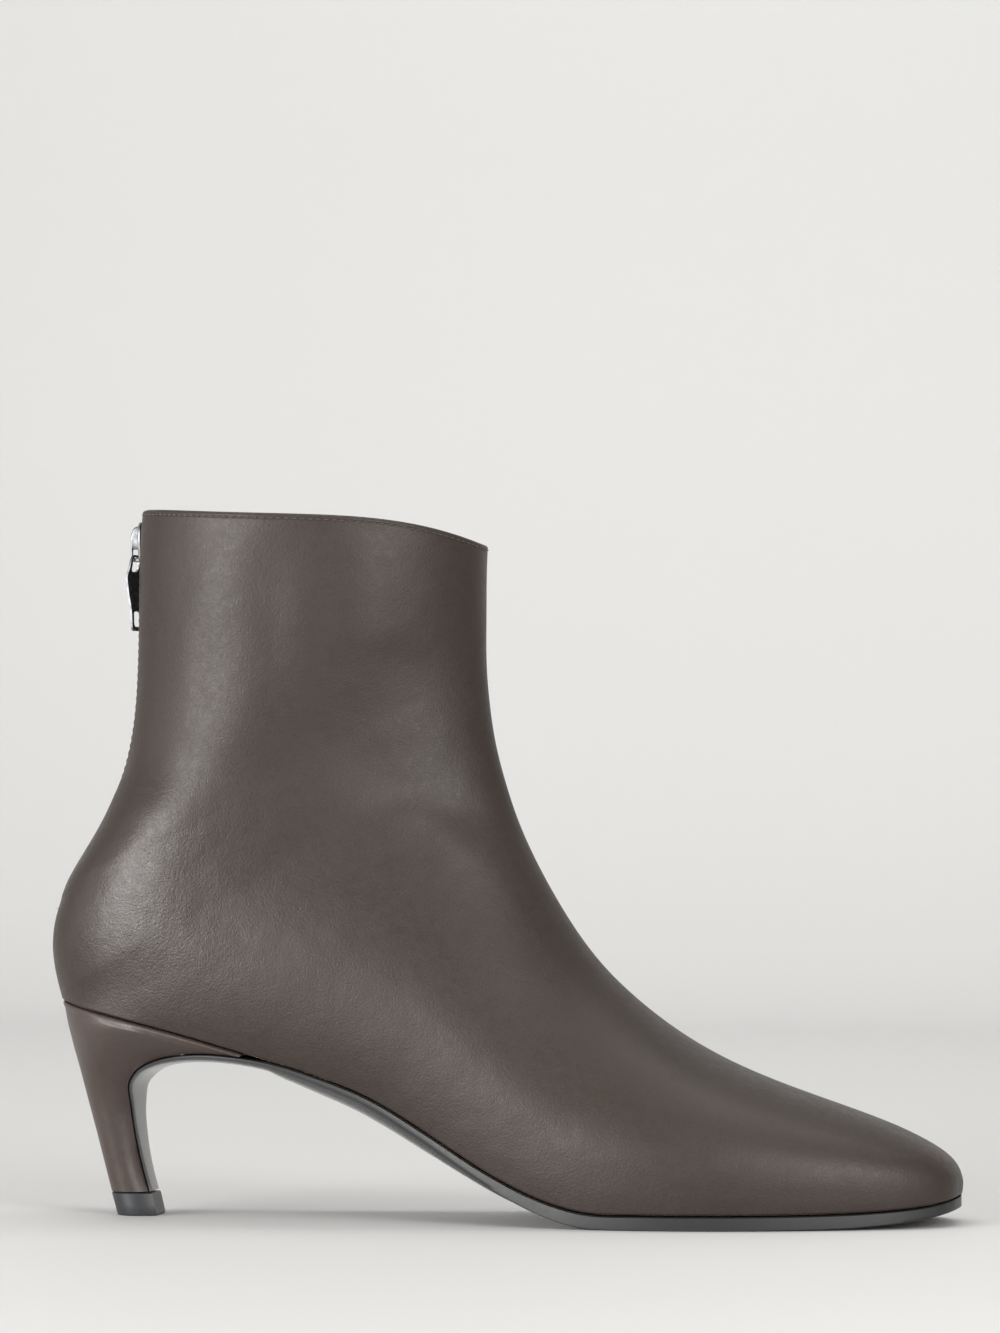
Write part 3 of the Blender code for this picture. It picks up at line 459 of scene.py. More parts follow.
def shapeLast():
    # outer face of the upper as a grid [row, column, xyz]: rows from the toe to the collar, columns
    # from the lateral edge over the ridge to the medial edge
    table, at, seam = lastStations(2)
    low = 1 - (np.linspace(0, 1, leather["lower"] + 1) ** leather["edgeCrowd"])[None]
    high = np.linspace(0, 1, leather["higher"] + 1)[None, 1:]
    column = [table[:, k:k + 1] for k in range(11)]
    rise = (column[1] - last["archFrom"]) / (table[-1, 1] - last["archFrom"])
    arch = last["archRise"] * np.clip(rise, 0, 1) ** 2
    halves = []
    for foot, body, side in ((column[2], column[6], -1), (column[3], column[7], 1)):
        share, half = sectionSide(foot, body, column[8], column[9], column[10], low, high)
        x = column[0] + share * (column[4] - column[0])
        z = column[1] + share * (column[5] - column[1]) + arch * share ** 3 * (1 - share)
        halves.append(np.stack([x, side * half, z], axis=-1))
    grid = np.concatenate([halves[0], halves[1][:, -2::-1]], axis=1)
    below, above = leather["coarse"]
    place = np.concatenate([below * (1 - low[0]), below + above * high[0]])
    place = np.concatenate([place, place[-2::-1]])
    share = leather["evening"] * np.clip(place / 3, 0, 1)[None, :, None]
    for _ in range(leather["evenings"]):
        grid[2:-2] = grid[2:-2] + share * ((grid[1:-3] + grid[3:-1]) / 2 - grid[2:-2])
    steps = leather["rowSteps"]
    fine = np.interp(np.arange((len(at) - 1) * steps + 1) / steps, np.arange(len(at)), at)
    turn = seam * steps
    smooth = curveThrough(at, grid, fine)
    corner = np.concatenate([curveThrough(at[:seam + 1], grid[:seam + 1], fine[:turn + 1]),
                             curveThrough(at[seam:], grid[seam:], fine[turn + 1:])])
    blend = np.clip(place / leather["corner"], 0, 1)[None, :, None]
    surface = blend * smooth + (1 - blend) * corner
    middle = grid.shape[1] // 2
    surface[:, :middle, 1] = np.minimum(surface[:, :middle, 1], 0)
    surface[:, middle:, 1] = np.maximum(surface[:, middle:, 1], 0)
    foot = curveThrough(at, table[:, 2], fine)
    foot = np.where(np.arange(len(fine)) > turn, surface[:, -1, 1], foot)
    # upper shaft: rows at fixed distances from the collar on every column
    stations = leather["shaftStations"]
    first = len(fine) - 1 - stations * steps
    samples = np.linspace(len(at) - 1 - stations, len(at) - 1, leather["shaftSamples"])
    dense = curveThrough(at, grid, np.interp(samples, np.arange(len(at)), at))[::-1]
    length = lengthAlong(dense, 0)
    near = np.array(leather["collarDistances"])[:, None] * np.ones((1, length.shape[1]))
    share = np.linspace(0, 1, leather["collarRows"] + 1)[:-1, None]
    spread = length[-1:] * (1 - share) + near[:1] * share
    wanted = np.vstack([spread, near])
    shaft = pointsAtLength(dense, length, wanted)
    surface = np.concatenate([surface[:first], shaft])
    foot = np.concatenate([foot[:first], shaft[:, -1, 1]])
    return surface, foot, turn, dense[0]


def gridNormals(grid):
    # outward unit normals from the two directions of the grid; the toe's closing row is evened
    normal = np.cross(np.gradient(grid, axis=1), np.gradient(grid, axis=0))
    middle = grid.shape[1] // 2
    size = np.linalg.norm(normal, axis=-1, keepdims=True)
    normal = normal / np.maximum(size, 1e-12)
    normal[0, middle] = normal[0, middle - 1] + normal[0, middle + 1]
    normal[0] = normal[0] + normal[0, ::-1] * np.array([1, -1, 1])
    normal[0, :, 1] = 0
    return normal / np.linalg.norm(normal, axis=-1, keepdims=True)


surface, footWidth, heelBack, collarLine = shapeLast()
rowCount, columnCount = surface.shape[:2]
normals = gridNormals(surface)
closedRow = (np.arange(rowCount) >= heelBack) & (footWidth < 0.05)
for edge in (0, -1):
    normals[closedRow, edge, 1] = 0
normals /= np.linalg.norm(normals, axis=-1, keepdims=True)
closedRow[heelBack] = True
edgeLength = lengthAlong(surface, 1)
edgeDistance = np.minimum(edgeLength, edgeLength[:, -1:] - edgeLength)
collarDistance = lengthAlong(np.concatenate([collarLine[None], surface[::-1]]), 0)[1:][::-1]
print("last shaped", surface.shape)


# soft folds seen in the leather: side (-1 lateral, 1 medial), depth (negative for a ridge), reach and
# the line (x, z) that each follows, in mm
folds = {
    "ankleBend": (-1, 0.62, 6.0, ((60, 117), (76, 114), (90, 107), (99, 99))),
    "ankleSweep": (-1, -0.78, 6.0, ((62, 107), (80, 105), (95, 97), (103, 88))),
    "ankleBack": (-1, 0.48, 6.5, ((-14, 126), (2, 122), (17, 118), (30, 117))),
    "ankleBackRidge": (-1, -0.38, 7.0, ((-10, 112), (6, 109), (22, 104))),
    "shaftRidge": (-1, -0.48, 6.5, ((33, 180), (27, 164), (19, 150), (18, 136))),
    "shaftTrough": (-1, 0.52, 6.0, ((43, 184), (42, 165), (43, 146), (45, 130))),
    "frontRidge": (-1, -0.6, 8.0, ((67, 184), (66, 162), (69, 140))),
    "frontTroughHigh": (-1, 0.3, 5.0, ((60, 148), (72, 146), (84, 147))),
    "frontTroughLow": (-1, 0.38, 5.5, ((56, 124), (70, 122), (86, 124))),
    "quarterRipple": (-1, 0.24, 5.0, ((20, 92), (28, 80), (40, 72))),
    "vampBend": (-1, 0.28, 6.0, ((112, 22), (124, 34), (130, 48))),
    "ankleBendInner": (1, 0.4, 6.0, ((58, 116), (75, 113), (91, 105))),
    "ankleSweepInner": (1, -0.3, 6.0, ((60, 106), (80, 103), (98, 93))),
    "ankleBackInner": (1, 0.34, 6.5, ((-13, 124), (4, 121), (20, 119))),
    "shaftRidgeInner": (1, -0.24, 7.0, ((30, 182), (26, 160), (22, 138))),
    "vampBendInner": (1, 0.22, 6.0, ((110, 20), (121, 32), (129, 47))),
}


def foldDepth(grid):
    # a fold is a bell across its line, fading out towards both ends of the line, on its own side
    depth = np.zeros(grid.shape[:2])
    spot = grid[..., [0, 2]]
    for side, deep, reach, line in folds.values():
        line = np.array(line, float)
        count = len(line) - 1
        nearest = np.full(depth.shape, 1e9)
        share = np.zeros(depth.shape)
        for k in range(count):
            way = line[k + 1] - line[k]
            t = np.clip(((spot - line[k]) @ way) / (way @ way), 0, 1)
            gap = np.linalg.norm(spot - line[k] - t[..., None] * way, axis=-1)
            share = np.where(gap < nearest, (k + t) / count, share)
            nearest = np.minimum(gap, nearest)
        fade = np.sin(np.pi * np.clip(0.12 + 0.76 * share, 0, 1))
        half = np.clip(0.5 + side * grid[..., 1] / 6, 0, 1)
        depth += deep * np.exp(-(nearest / reach) ** 2) * fade * half
    return depth


def closeSeam(grid):
    # both edges of the closed rows meet exactly in the middle plane
    rows = np.flatnonzero(closedRow[:len(grid)])
    grid[rows, 0] = grid[rows, -1] = (grid[rows, 0] + grid[rows, -1]) / 2 * (1, 0, 1)
    return grid


def makeUpper():
    # wall of leather: turned edges, back seam trough, stitch line and a rolled lip at the collar
    roll = leather["edgeRoll"]
    inside = np.clip(roll - edgeDistance, 0, roll)
    openShare = np.clip(footWidth / 1.2, 0, 1)[:, None]
    depth = (roll - np.sqrt(np.maximum(roll ** 2 - inside ** 2, 0))) * openShare
    closed = np.clip(1 - footWidth / 1.2, 0, 1)[:, None] * (np.arange(rowCount) >= heelBack)[:, None]
    depth = depth + closed * leather["seamDepth"] * np.exp(-(edgeDistance / leather["seamWidth"]) ** 2)
    line = collarDistance - leather["stitchLine"]
    depth = depth + leather["stitchDepth"] * np.exp(-(line / 0.26) ** 2) * (edgeDistance > 0.3)
    depth = depth - 0.05 * np.exp(-((line + 0.75) / 0.4) ** 2)
    calm = np.clip((edgeDistance - 1.5) / 6, 0, 1) * np.clip((collarDistance - 2.5) / 6, 0, 1)
    depth = depth + foldDepth(surface) * calm
    fold = np.clip((7.0 - collarDistance) / 1.2, 0, 1)
    wall = leather["wall"] + (leather["foldWall"] - leather["wall"]) * fold
    outer = closeSeam(surface - normals * depth[..., None])
    inner = closeSeam(surface - normals * wall[..., None])
    # lip: a half ellipse from the outer face over the collar line to the inner face
    lift = collarLine - surface[-1]
    angle = np.linspace(0, np.pi / 2, leather["lipSteps"] + 1)[1:, None, None]
    half = leather["foldWall"] / 2
    start = depth[-1][None, :, None]
    outerLip = surface[-1] - normals[-1] * (start + (half - start) * (1 - np.cos(angle)))
    outerLip = outerLip + lift * np.sin(angle)
    innerLip = surface[-1] - normals[-1] * half * (1 + np.cos(angle)) + lift * np.sin(angle)
    outer = np.concatenate([outer, outerLip])
    inner = np.concatenate([inner, innerLip])
    rows = len(outer)
    openRows = np.ones(rows - 1, bool)
    shut = closedRow[:-1] & closedRow[1:]
    openRows[:len(shut)] = ~shut
    quads = shellQuads(rows, columnCount, openRows)
    piece = putMesh("upperLeather", np.concatenate([outer, inner]), quads, brownLeather, "boot", 50)
    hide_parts("upper")


makeUpper()


lining = {"near": 1.27, "far": 2.06, "below": 5.5}


def makeLining():
    # thin shell inside the leather, up to the folded edge of the collar; every second column
    upTo = int(np.argmax(collarDistance[:, 0] < lining["below"] + 0.01)) + 1
    columns = np.arange(0, columnCount, 2)
    part = surface[:upTo][:, columns]
    face = normals[:upTo][:, columns]
    near = closeSeam(part - face * lining["near"])
    far = closeSeam(part - face * lining["far"])
    shut = closedRow[:upTo - 1] & closedRow[1:upTo]
    piece = putMesh("upperLining", np.concatenate([near, far]), shellQuads(upTo, len(columns), ~shut),
                    liningLeather, "boot", 50)


makeLining()
print("upper and lining made")


def featherOutline(steps, inset):
    # feather line moved inwards in plan: x, half width and height for each side
    table, _, seam = lastStations(steps)
    table = table[:seam + 1]
    order = np.argsort(table[:, 0])
    sides = []
    for k in (2, 3):
        x, half = table[:, 0], table[:, k]
        dx, dy = np.gradient(x), np.gradient(half)
        dx[0] = dx[-1] = 0.0
        size = np.maximum(np.hypot(dx, dy), 1e-9)
        movedX = x - inset * dy / size
        movedHalf = np.maximum(half + inset * dx / size, 0.0)
        movedHalf[0] = movedHalf[-1] = 0.0
        height = np.interp(movedX, table[order, 0], table[order, 1])
        sides.append((movedX, movedHalf, height))
    return sides


insole = {"inset": 2.9, "thick": 2.4, "across": 24, "edge": 0.5}


def makeInsole():
    # board with its sock: top face slightly dished, edge rounded over
    (xl, yl, zl), (xm, ym, zm) = featherOutline(6, insole["inset"])
    t = np.linspace(0, 1, insole["across"] + 1)[None]
    ease = np.clip(np.minimum(t, 1 - t) * np.maximum(yl + ym, 0.5)[:, None] / insole["edge"], 0, 1)
    rounding = np.sqrt(1 - (1 - ease) ** 2)
    x = xl[:, None] + (xm - xl)[:, None] * t
    y = -yl[:, None] + (ym + yl)[:, None] * t
    z = zl[:, None] + (zm - zl)[:, None] * t
    dish = 0.45 * np.sin(np.pi * t) ** 2
    top = np.stack([x, y, z + insole["thick"] - insole["edge"] * (1 - rounding) - dish * ease], axis=-1)
    low = np.stack([x, y, z], axis=-1)
    count = x.size
    rows, columns = x.shape
    i = np.arange(rows - 1)
    left = np.stack([i * columns, (i + 1) * columns, (i + 1) * columns + count, i * columns + count], axis=-1)
    quads = np.vstack([gridQuads(rows, columns), gridQuads(rows, columns, count)[:, ::-1], left,
                       left + columns - 1])
    piece = putMesh("insoleSock", np.concatenate([top, low]), quads, liningLeather, "boot", 40, 0.01)
    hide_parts("insole")


makeInsole()


sole = {
    # x, edge height, height in the middle, fullness of the underside
    "rows": ((41.8, 0.9, 4.3, 2.2), (55, 0.9, 5.6, 2.2), (70, 0.9, 6.4, 2.2), (84, 1, 6, 2.4),
             (96, 1.4, 4.7, 3), (108, 2, 3.6, 5), (120, 2.6, 3.8, 9), (152, 2.8, 3.8, 10),
             (190, 2.6, 3.8, 9), (208, 2.2, 3.4, 7), (220, 1.8, 2.8, 5)),
    # flap down the breast: x, z, half widths, edge height, height in the middle, fullness
    "flap": ((39.8, 41.85, 26.1, 19.4, 0.8, 3.3, 2.2), (34.3, 42.8, 25.9, 20.3, 0.8, 3, 2.2),
             (28.1, 43.5, 25.3, 21, 0.8, 2.8, 2.2), (20.7, 43.75, 23.6, 20.9, 0.8, 2.6, 2.2),
             (13.6, 43.1, 21.2, 19.6, 0.8, 2.3, 2.2), (7.4, 41.6, 18.2, 17.4, 0.8, 1.9, 2.2),
             (2.6, 39.2, 15, 14.6, 0.8, 1.5, 2.2), (-0.4, 35.6, 11.2, 11, 0.8, 1.2, 2.2),
             (-0.7, 29.6, 7.6, 7.6, 0.8, 1, 2.2), (0.2, 21, 5.7, 5.7, 0.8, 1, 2.2),
             (3.6, 6.4, 4.4, 4.4, 0.8, 1, 2.2)),
    "inset": 0.25, "gap": 0.3, "steps": 14, "edgeBevel": 0.35,
}


def flapLine(places):
    flap = np.array(sole["flap"], float)
    knots = np.concatenate([[0.0], np.cumsum(np.hypot(np.diff(flap[:, 0]), np.diff(flap[:, 1])))])
    return curveThrough(knots, flap, np.interp(places, np.arange(len(flap)), knots))


def makeSole():
    # one sweep: across each station the underside is a superellipse from edge to edge, with a small
    # bevel under the top edge; the stations run from the toe under the waist and down the breast
    (xl, yl, zl), (xm, ym, _) = featherOutline(6, sole["inset"])
    table = np.array(sole["rows"], float)
    keep = xl > sole["flap"][0][0] + 4.0
    section = [np.interp(xl[keep], table[:, 0], table[:, k]) for k in (1, 2, 3)]
    body = np.column_stack([xl[keep], xm[keep], zl[keep] - sole["gap"], yl[keep], ym[keep], *section])
    flap = flapLine(np.arange(6 * (len(sole["flap"]) - 1) + 1) / 6)
    path = np.vstack([body, flap[:, [0, 0, 1, 2, 3, 4, 5, 6]]])
    run = np.column_stack([np.gradient((path[:, 0] + path[:, 1]) / 2), np.gradient(path[:, 2])])
    run /= np.linalg.norm(run, axis=1)[:, None]
    out = np.column_stack([-run[:, 1], run[:, 0]])
    share = np.clip((path[:, 0] - 140) / 20, 0, 1)[:, None]
    out = out * (1 - share) + np.array([[0.0, -1.0]]) * share
    steps = sole["steps"]
    angle = np.linspace(0, np.pi / 2, steps + 1)[None]
    power = path[:, 7:8]
    across = np.cos(angle) ** (2 / power)
    across[:, -1] = 0.0
    deep = path[:, 5:6] + (path[:, 6:7] - path[:, 5:6]) * np.sin(angle) ** (2 / power)
    bevel = sole["edgeBevel"]
    reach = np.maximum(path[:, 3:4], 0.6)
    top = 1 - bevel / np.maximum(reach, 1.0)

    def half(x, width, side, order):
        spread = np.hstack([top, np.ones_like(top), across])[:, order]
        depth = np.hstack([np.zeros_like(top), np.full_like(top, bevel * 0.7), deep])[:, order]
        low = np.maximum(path[:, 2:3] + out[:, 1:2] * depth, 0.0)
        return np.stack([x[:, None] + out[:, :1] * depth, side * width[:, None] * spread, low], axis=-1)

    order = np.arange(steps + 3)
    lateral = half(path[:, 0], path[:, 3], -1, order[:-1])
    centre = half((path[:, 0] + path[:, 1]) / 2, path[:, 3], -1, order[-1:])
    medial = half(path[:, 1], path[:, 4], 1, order[:-1][::-1])
    ring = np.concatenate([lateral, centre, centre, medial], axis=1)
    piece = putMesh("outsoleLeather", ring, sweepQuads(*ring.shape[:2]), soleLeather, "boot", 34, 0.004)
    # the underside from the waist back, and the flap on the breast, are marked for the material, which
    # polishes them and greys their colour as a painted reflection of the bright floor and backdrop
    facing, place = np.empty((2, 3 * len(piece.data.vertices)))
    piece.data.vertices.foreach_get("normal", facing)
    piece.data.vertices.foreach_get("co", place)
    x = place[::3] / mm
    lean = np.maximum(-facing[2::3], facing[::3] * (x < 36))
    down = np.clip((lean - 0.3) / 0.45, 0, 1) * np.clip((124 - x) / 26, 0, 1)
    piece.data.attributes.new("down", "FLOAT", "POINT").data.foreach_set("value", down)
    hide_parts("outsole")


makeSole()


heel = {
    # back point x, z, place on the flap's line, half widths
    "rows": ((-19.8, 55.6, 1.8, 26.2, 23.6), (-19.4, 53.6, 2.6, 25.2, 23.4), (-18.9, 51.2, 3.5, 23.4, 22.4),
             (-18.1, 48.2, 4.5, 20.8, 20.2), (-17.2, 44.5, 5.4, 17.8, 17.4), (-16.1, 40.4, 6.3, 14.7, 14.5),
             (-14.9, 35.6, 7.2, 12.1, 12), (-13.5, 30, 8, 10.2, 10.2), (-11.4, 22, 8.9, 8.6, 8.6),
             (-9.35, 14, 9.5, 7.6, 7.6), (-7.4, 6.4, 10, 6.9, 6.9)),
    "front": 32.8, "gap": 0.3, "around": 28, "steps": 6,
    "seatRoll": 0.5,        # the cover turns over the seat's edge
}


def ringSides(back, front, wide, narrow, around):
    # a ring seen from above is a D: a half ellipse behind the middle, then sides that draw in to
    # the breast's half width; back and front are (x, z), wide and narrow (lateral, medial)
    t = np.linspace(0, 1, around + 1)[None]
    behind = t <= 0.6
    angle = np.pi / 2 * np.minimum(t / 0.6, 1)
    share = np.where(behind, 0.5 * (1 - np.cos(angle)), 0.5 + 0.5 * (t - 0.6) / 0.4)
    taper = np.where(behind, 0.0, ((t - 0.6) / 0.4)) ** 2
    x = back[:, :1] + share * (front[:, :1] - back[:, :1])
    z = back[:, 1:] + share * (front[:, 1:] - back[:, 1:])
    sides = []
    for k, side in ((0, -1), (1, 1)):
        width = np.sin(angle) * (wide[:, k:k + 1] + taper * (narrow[:, k:k + 1] - wide[:, k:k + 1]))
        sides.append(np.stack([x, side * width, z], axis=-1))
    return sides


def stackRings(name, lateral, medial, material, sharp):
    # rings of paired side points joined into a solid, both ends closed across
    ring = np.concatenate([lateral, medial[:, ::-1]], axis=1)
    return putMesh(name, ring, sweepQuads(*ring.shape[:2]), material, "boot", sharp, 0.004)


def makeHeel():
    table = np.array(heel["rows"], float)
    count = heel["steps"] * (len(table) - 1) + 1
    rows = curveThrough(np.arange(len(table)), table, np.arange(count) / heel["steps"])
    front = flapLine(rows[:, 2])
    ahead = flapLine(rows[:, 2] + 0.02) - flapLine(rows[:, 2] - 0.02)
    ahead[-1] = (flapLine([10.0]) - flapLine([9.9]))[0]
    size = np.hypot(ahead[:, 0], ahead[:, 1])
    tip = np.column_stack([front[:, 0] + heel["gap"] * ahead[:, 1] / size,
                           front[:, 1] - heel["gap"] * ahead[:, 0] / size])
    tip[-1, 1] = rows[-1, 1]
    around = heel["around"]
    lateral, medial = ringSides(rows[:, :2], tip, rows[:, 3:5], front[:, 2:4], around)
    # seat rings under the upper: the feather outline, first drawn in by the roll, then full width
    seats = [[], []]
    sweep = np.sin(np.linspace(np.pi / 2, 0, around + 1))
    for inset, drop in ((sole["inset"] + heel["seatRoll"], 0.0), (sole["inset"] + 0.15, 0.16),
                        (sole["inset"], 0.42)):
        for k, (x, half, z) in enumerate(featherOutline(8, inset)):
            xs = heel["front"] - (heel["front"] - x[-1]) * sweep
            order = np.argsort(x)
            seats[k].append(np.stack([xs, (-1, 1)[k] * np.interp(xs, x[order], half[order]),
                                      np.interp(xs, x[order], z[order]) - heel["gap"] - drop], axis=-1))
    # the wall between the seat and the first ring of the table is a smooth run of rings
    between = []
    for k, side in ((0, lateral), (1, medial)):
        anchor = np.concatenate([np.stack(seats[k])[-2:], side[:12:4]])
        knots = np.array([0.0, 0.3, 2.2, 4.0, 6.0])[:len(anchor)]
        between.append(curveThrough(knots, anchor, np.linspace(0.3, 2.2, 7)[1:-1]))
    lateral = np.concatenate([np.stack(seats[0]), between[0], lateral])
    medial = np.concatenate([np.stack(seats[1]), between[1], medial])
    piece = stackRings("heelCover", lateral, medial, heelLeather, 45)
    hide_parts("heel")


makeHeel()


tip = {
    # back x, z, front x, z, half widths at the widest and at the front
    "rows": ((-7.15, 6.1, 4.35, 6.1, 6.75, 6.75, 5.2, 5.2), (-7.4, 5.85, 4.65, 5.85, 7, 7, 5.4, 5.4),
             (-6.6, 3.1, 5.3, 3.1, 7, 7, 5.4, 5.4), (-5.9, 0.5, 5.9, 0.5, 7, 7, 5.4, 5.4),
             (-5.75, 0.16, 5.78, 0.16, 6.86, 6.86, 5.3, 5.3), (-5.5, 0, 5.5, 0, 6.6, 6.6, 5.1, 5.1)),
    "around": 28,
}


def makeTip():
    rows = np.array(tip["rows"], float)
    lateral, medial = ringSides(rows[:, :2], rows[:, 2:4], rows[:, 4:6], rows[:, 6:8], tip["around"])
    piece = stackRings("heelTip", lateral, medial, tipRubber, 30)
    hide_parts("top_piece")


makeTip()
print("sole, insole, heel and tip made")


def backLine(heights):
    # the back seam's centre line at given heights, with its outward direction, in the centre plane
    table, _, seam = lastStations(8)
    x, z = table[seam:, 0], table[seam:, 1]
    heights = np.asarray(heights, float)
    low = np.minimum(heights, z[-1] - 0.5)
    slope = np.interp(low + 0.5, z, x) - np.interp(low - 0.5, z, x)
    out = np.stack([-np.ones_like(slope), np.zeros_like(slope), slope], axis=-1)
    out /= np.linalg.norm(out, axis=-1, keepdims=True)
    return np.stack([np.interp(heights, z, x), np.zeros_like(heights), heights], axis=-1), out


zipParts = {
    "bottom": 89.0, "top": 175.5, "pitch": 2.6,
    "tapeLow": 84.7, "tapeTop": 187.6, "tapeOut": 3.2, "tapeIn": 0.12,
    "tapeDepth": (-1.9, -1.15), "beadDepth": -0.95,
    "toothOut": 2.45, "toothPast": 0.62, "toothHeight": 1.22, "toothDepth": (-0.85, 0.12),
    "sunk": 0.45, "sunkFrom": (95.0, 101.0),
}


def makeTapes():
    # each tape is a flat strip with a bead along its inner edge; profile carried up the back line
    heights = np.linspace(zipParts["tapeLow"], zipParts["tapeTop"], 160)
    spots, out = backLine(heights)
    low, high = zipParts["tapeDepth"]
    a, b = zipParts["tapeIn"], zipParts["tapeOut"]
    across = np.array([a, a, a + 0.25, a + 0.7, a + 1.0, b, b, (a + b) / 2])
    depth = np.array([low, high, zipParts["beadDepth"], zipParts["beadDepth"], high, high, low, low])
    for side, name in ((-1, "zipTapeLateral"), (1, "zipTapeMedial")):
        ring = spots[:, None] + out[:, None] * depth[None, :, None]
        ring[..., 1] = side * across
        rows, columns = ring.shape[:2]
        cap = np.array([[0, 1, 2, 3], [0, 3, 4, 7], [7, 4, 5, 6]])
        quads = np.vstack([gridQuads(rows, columns, closed=True), cap, cap + (rows - 1) * columns])
        piece = putMesh(name, ring, quads, tapeCloth, "boot", 35)
        if side < 0:
            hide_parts("zip_tape")


makeTapes()


def makeTeeth():
    # a tooth is a small block whose head, past the centre, is rounded and drawn in; copies stand at
    # every pitch on the back line, the other side's half a pitch higher
    level = np.array([-0.5, -0.36, 0.0, 0.36, 0.5])             # up the chain, share of the height
    reach = np.array([-zipParts["toothPast"], -zipParts["toothPast"] + 0.28, 0.5, 1.5,
                      zipParts["toothOut"] - 0.3, zipParts["toothOut"]])
    width = np.array([0.62, 0.92, 1.0, 0.94, 0.94, 0.7])        # height of the block along its reach
    depthLow, depthHigh = zipParts["toothDepth"]
    crown = np.array([-0.22, -0.03, 0.0, -0.05, -0.08, -0.3])
    top = np.array([-0.16, -0.02, 0.0, -0.02, -0.16])
    up = level[:, None] * width[None] * zipParts["toothHeight"]
    face = depthHigh + crown[None] + top[:, None]
    across = np.broadcast_to(reach, up.shape)
    base = np.full_like(up, depthLow)
    block = np.concatenate([np.stack([across, face, up], axis=-1), np.stack([across, base, up], axis=-1)])
    block = block.reshape(-1, 3)
    rows, columns = up.shape
    count = up.size
    rim = np.concatenate([np.arange(columns), np.arange(1, rows) * columns + columns - 1,
                          (rows - 1) * columns + np.arange(columns - 1)[::-1],
                          np.arange(1, rows - 1)[::-1] * columns])
    side = np.stack([rim, np.roll(rim, -1), np.roll(rim, -1) + count, rim + count], axis=-1)
    one = np.vstack([gridQuads(rows, columns), gridQuads(rows, columns, count)[:, ::-1], side])
    for sideSign, lift, name in ((-1, 0.0, "zipTeethLateral"), (1, 0.5, "zipTeethMedial")):
        heights = np.arange(zipParts["bottom"] + (0.55 + lift) * zipParts["pitch"],
                            zipParts["top"] - 0.6, zipParts["pitch"])
        spots, out = backLine(heights)
        rise = np.stack([out[:, 2], np.zeros(len(out)), -out[:, 0]], axis=-1)
        # above the ankle the leather stands a little proud of the chain
        sunk = zipParts["sunk"] * np.clip(np.interp(heights, zipParts["sunkFrom"], [0.0, 1.0]), 0, 1)
        depth = block[None, :, 1:2] - sunk[:, None, None]
        points = spots[:, None] + out[:, None] * depth + rise[:, None] * block[None, :, 2:3]
        points[..., 1] = sideSign * block[None, :, 0]
        quads = (one[None] + np.arange(len(heights))[:, None, None] * len(block)).reshape(-1, 4)
        piece = putMesh(name, points, quads, gunmetal, "boot", 50)
        if sideSign < 0:
            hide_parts("zip_chain")


makeTeeth()


def softBlock(name, plan, levels, middle, material, body):
    # a flat plan (across, up) in mm carried outwards through levels (depth, scale)
    plan = np.asarray(plan, float)
    levels = np.asarray(levels, float)
    rings = np.stack([np.column_stack([np.full(len(plan), middle[0] - depth), plan[:, 0] * scale,
                                       middle[1] + plan[:, 1] * scale]) for depth, scale in levels])
    return putMesh(name, rings, sweepQuads(len(levels), len(plan)), material, body, 40)


slider = {
    "height": (174.8, 185.8), "half": 3.5, "depth": (0.4, 1.15),
    "bailHeight": (175.2, 184.8), "bailDepth": (3.05, 3.6), "bailHalf": 0.46, "bailOpening": (176.3, 178.6),
}


def sliderPlan(half, length, count=24):
    # outline of the slider seen from behind: pear shaped, narrow below and broad above; the points
    # run down one side and up the other so that they pair across the middle
    up = 0.5 - 0.5 * np.cos(np.linspace(0.02, np.pi - 0.02, count))
    wide = np.interp(up, [0.0, 0.12, 0.3, 0.55, 0.8, 1.0], [0.56, 0.74, 0.88, 1.0, 0.98, 0.78])
    ends = np.minimum(np.sqrt(np.clip(up / 0.06, 0, 1)), np.sqrt(np.clip((1 - up) / 0.10, 0, 1)))
    side = half * wide * (0.72 + 0.28 * ends)
    z = (up - 0.5) * length
    return np.concatenate([np.column_stack([-side, z]), np.column_stack([side, z])[::-1]])


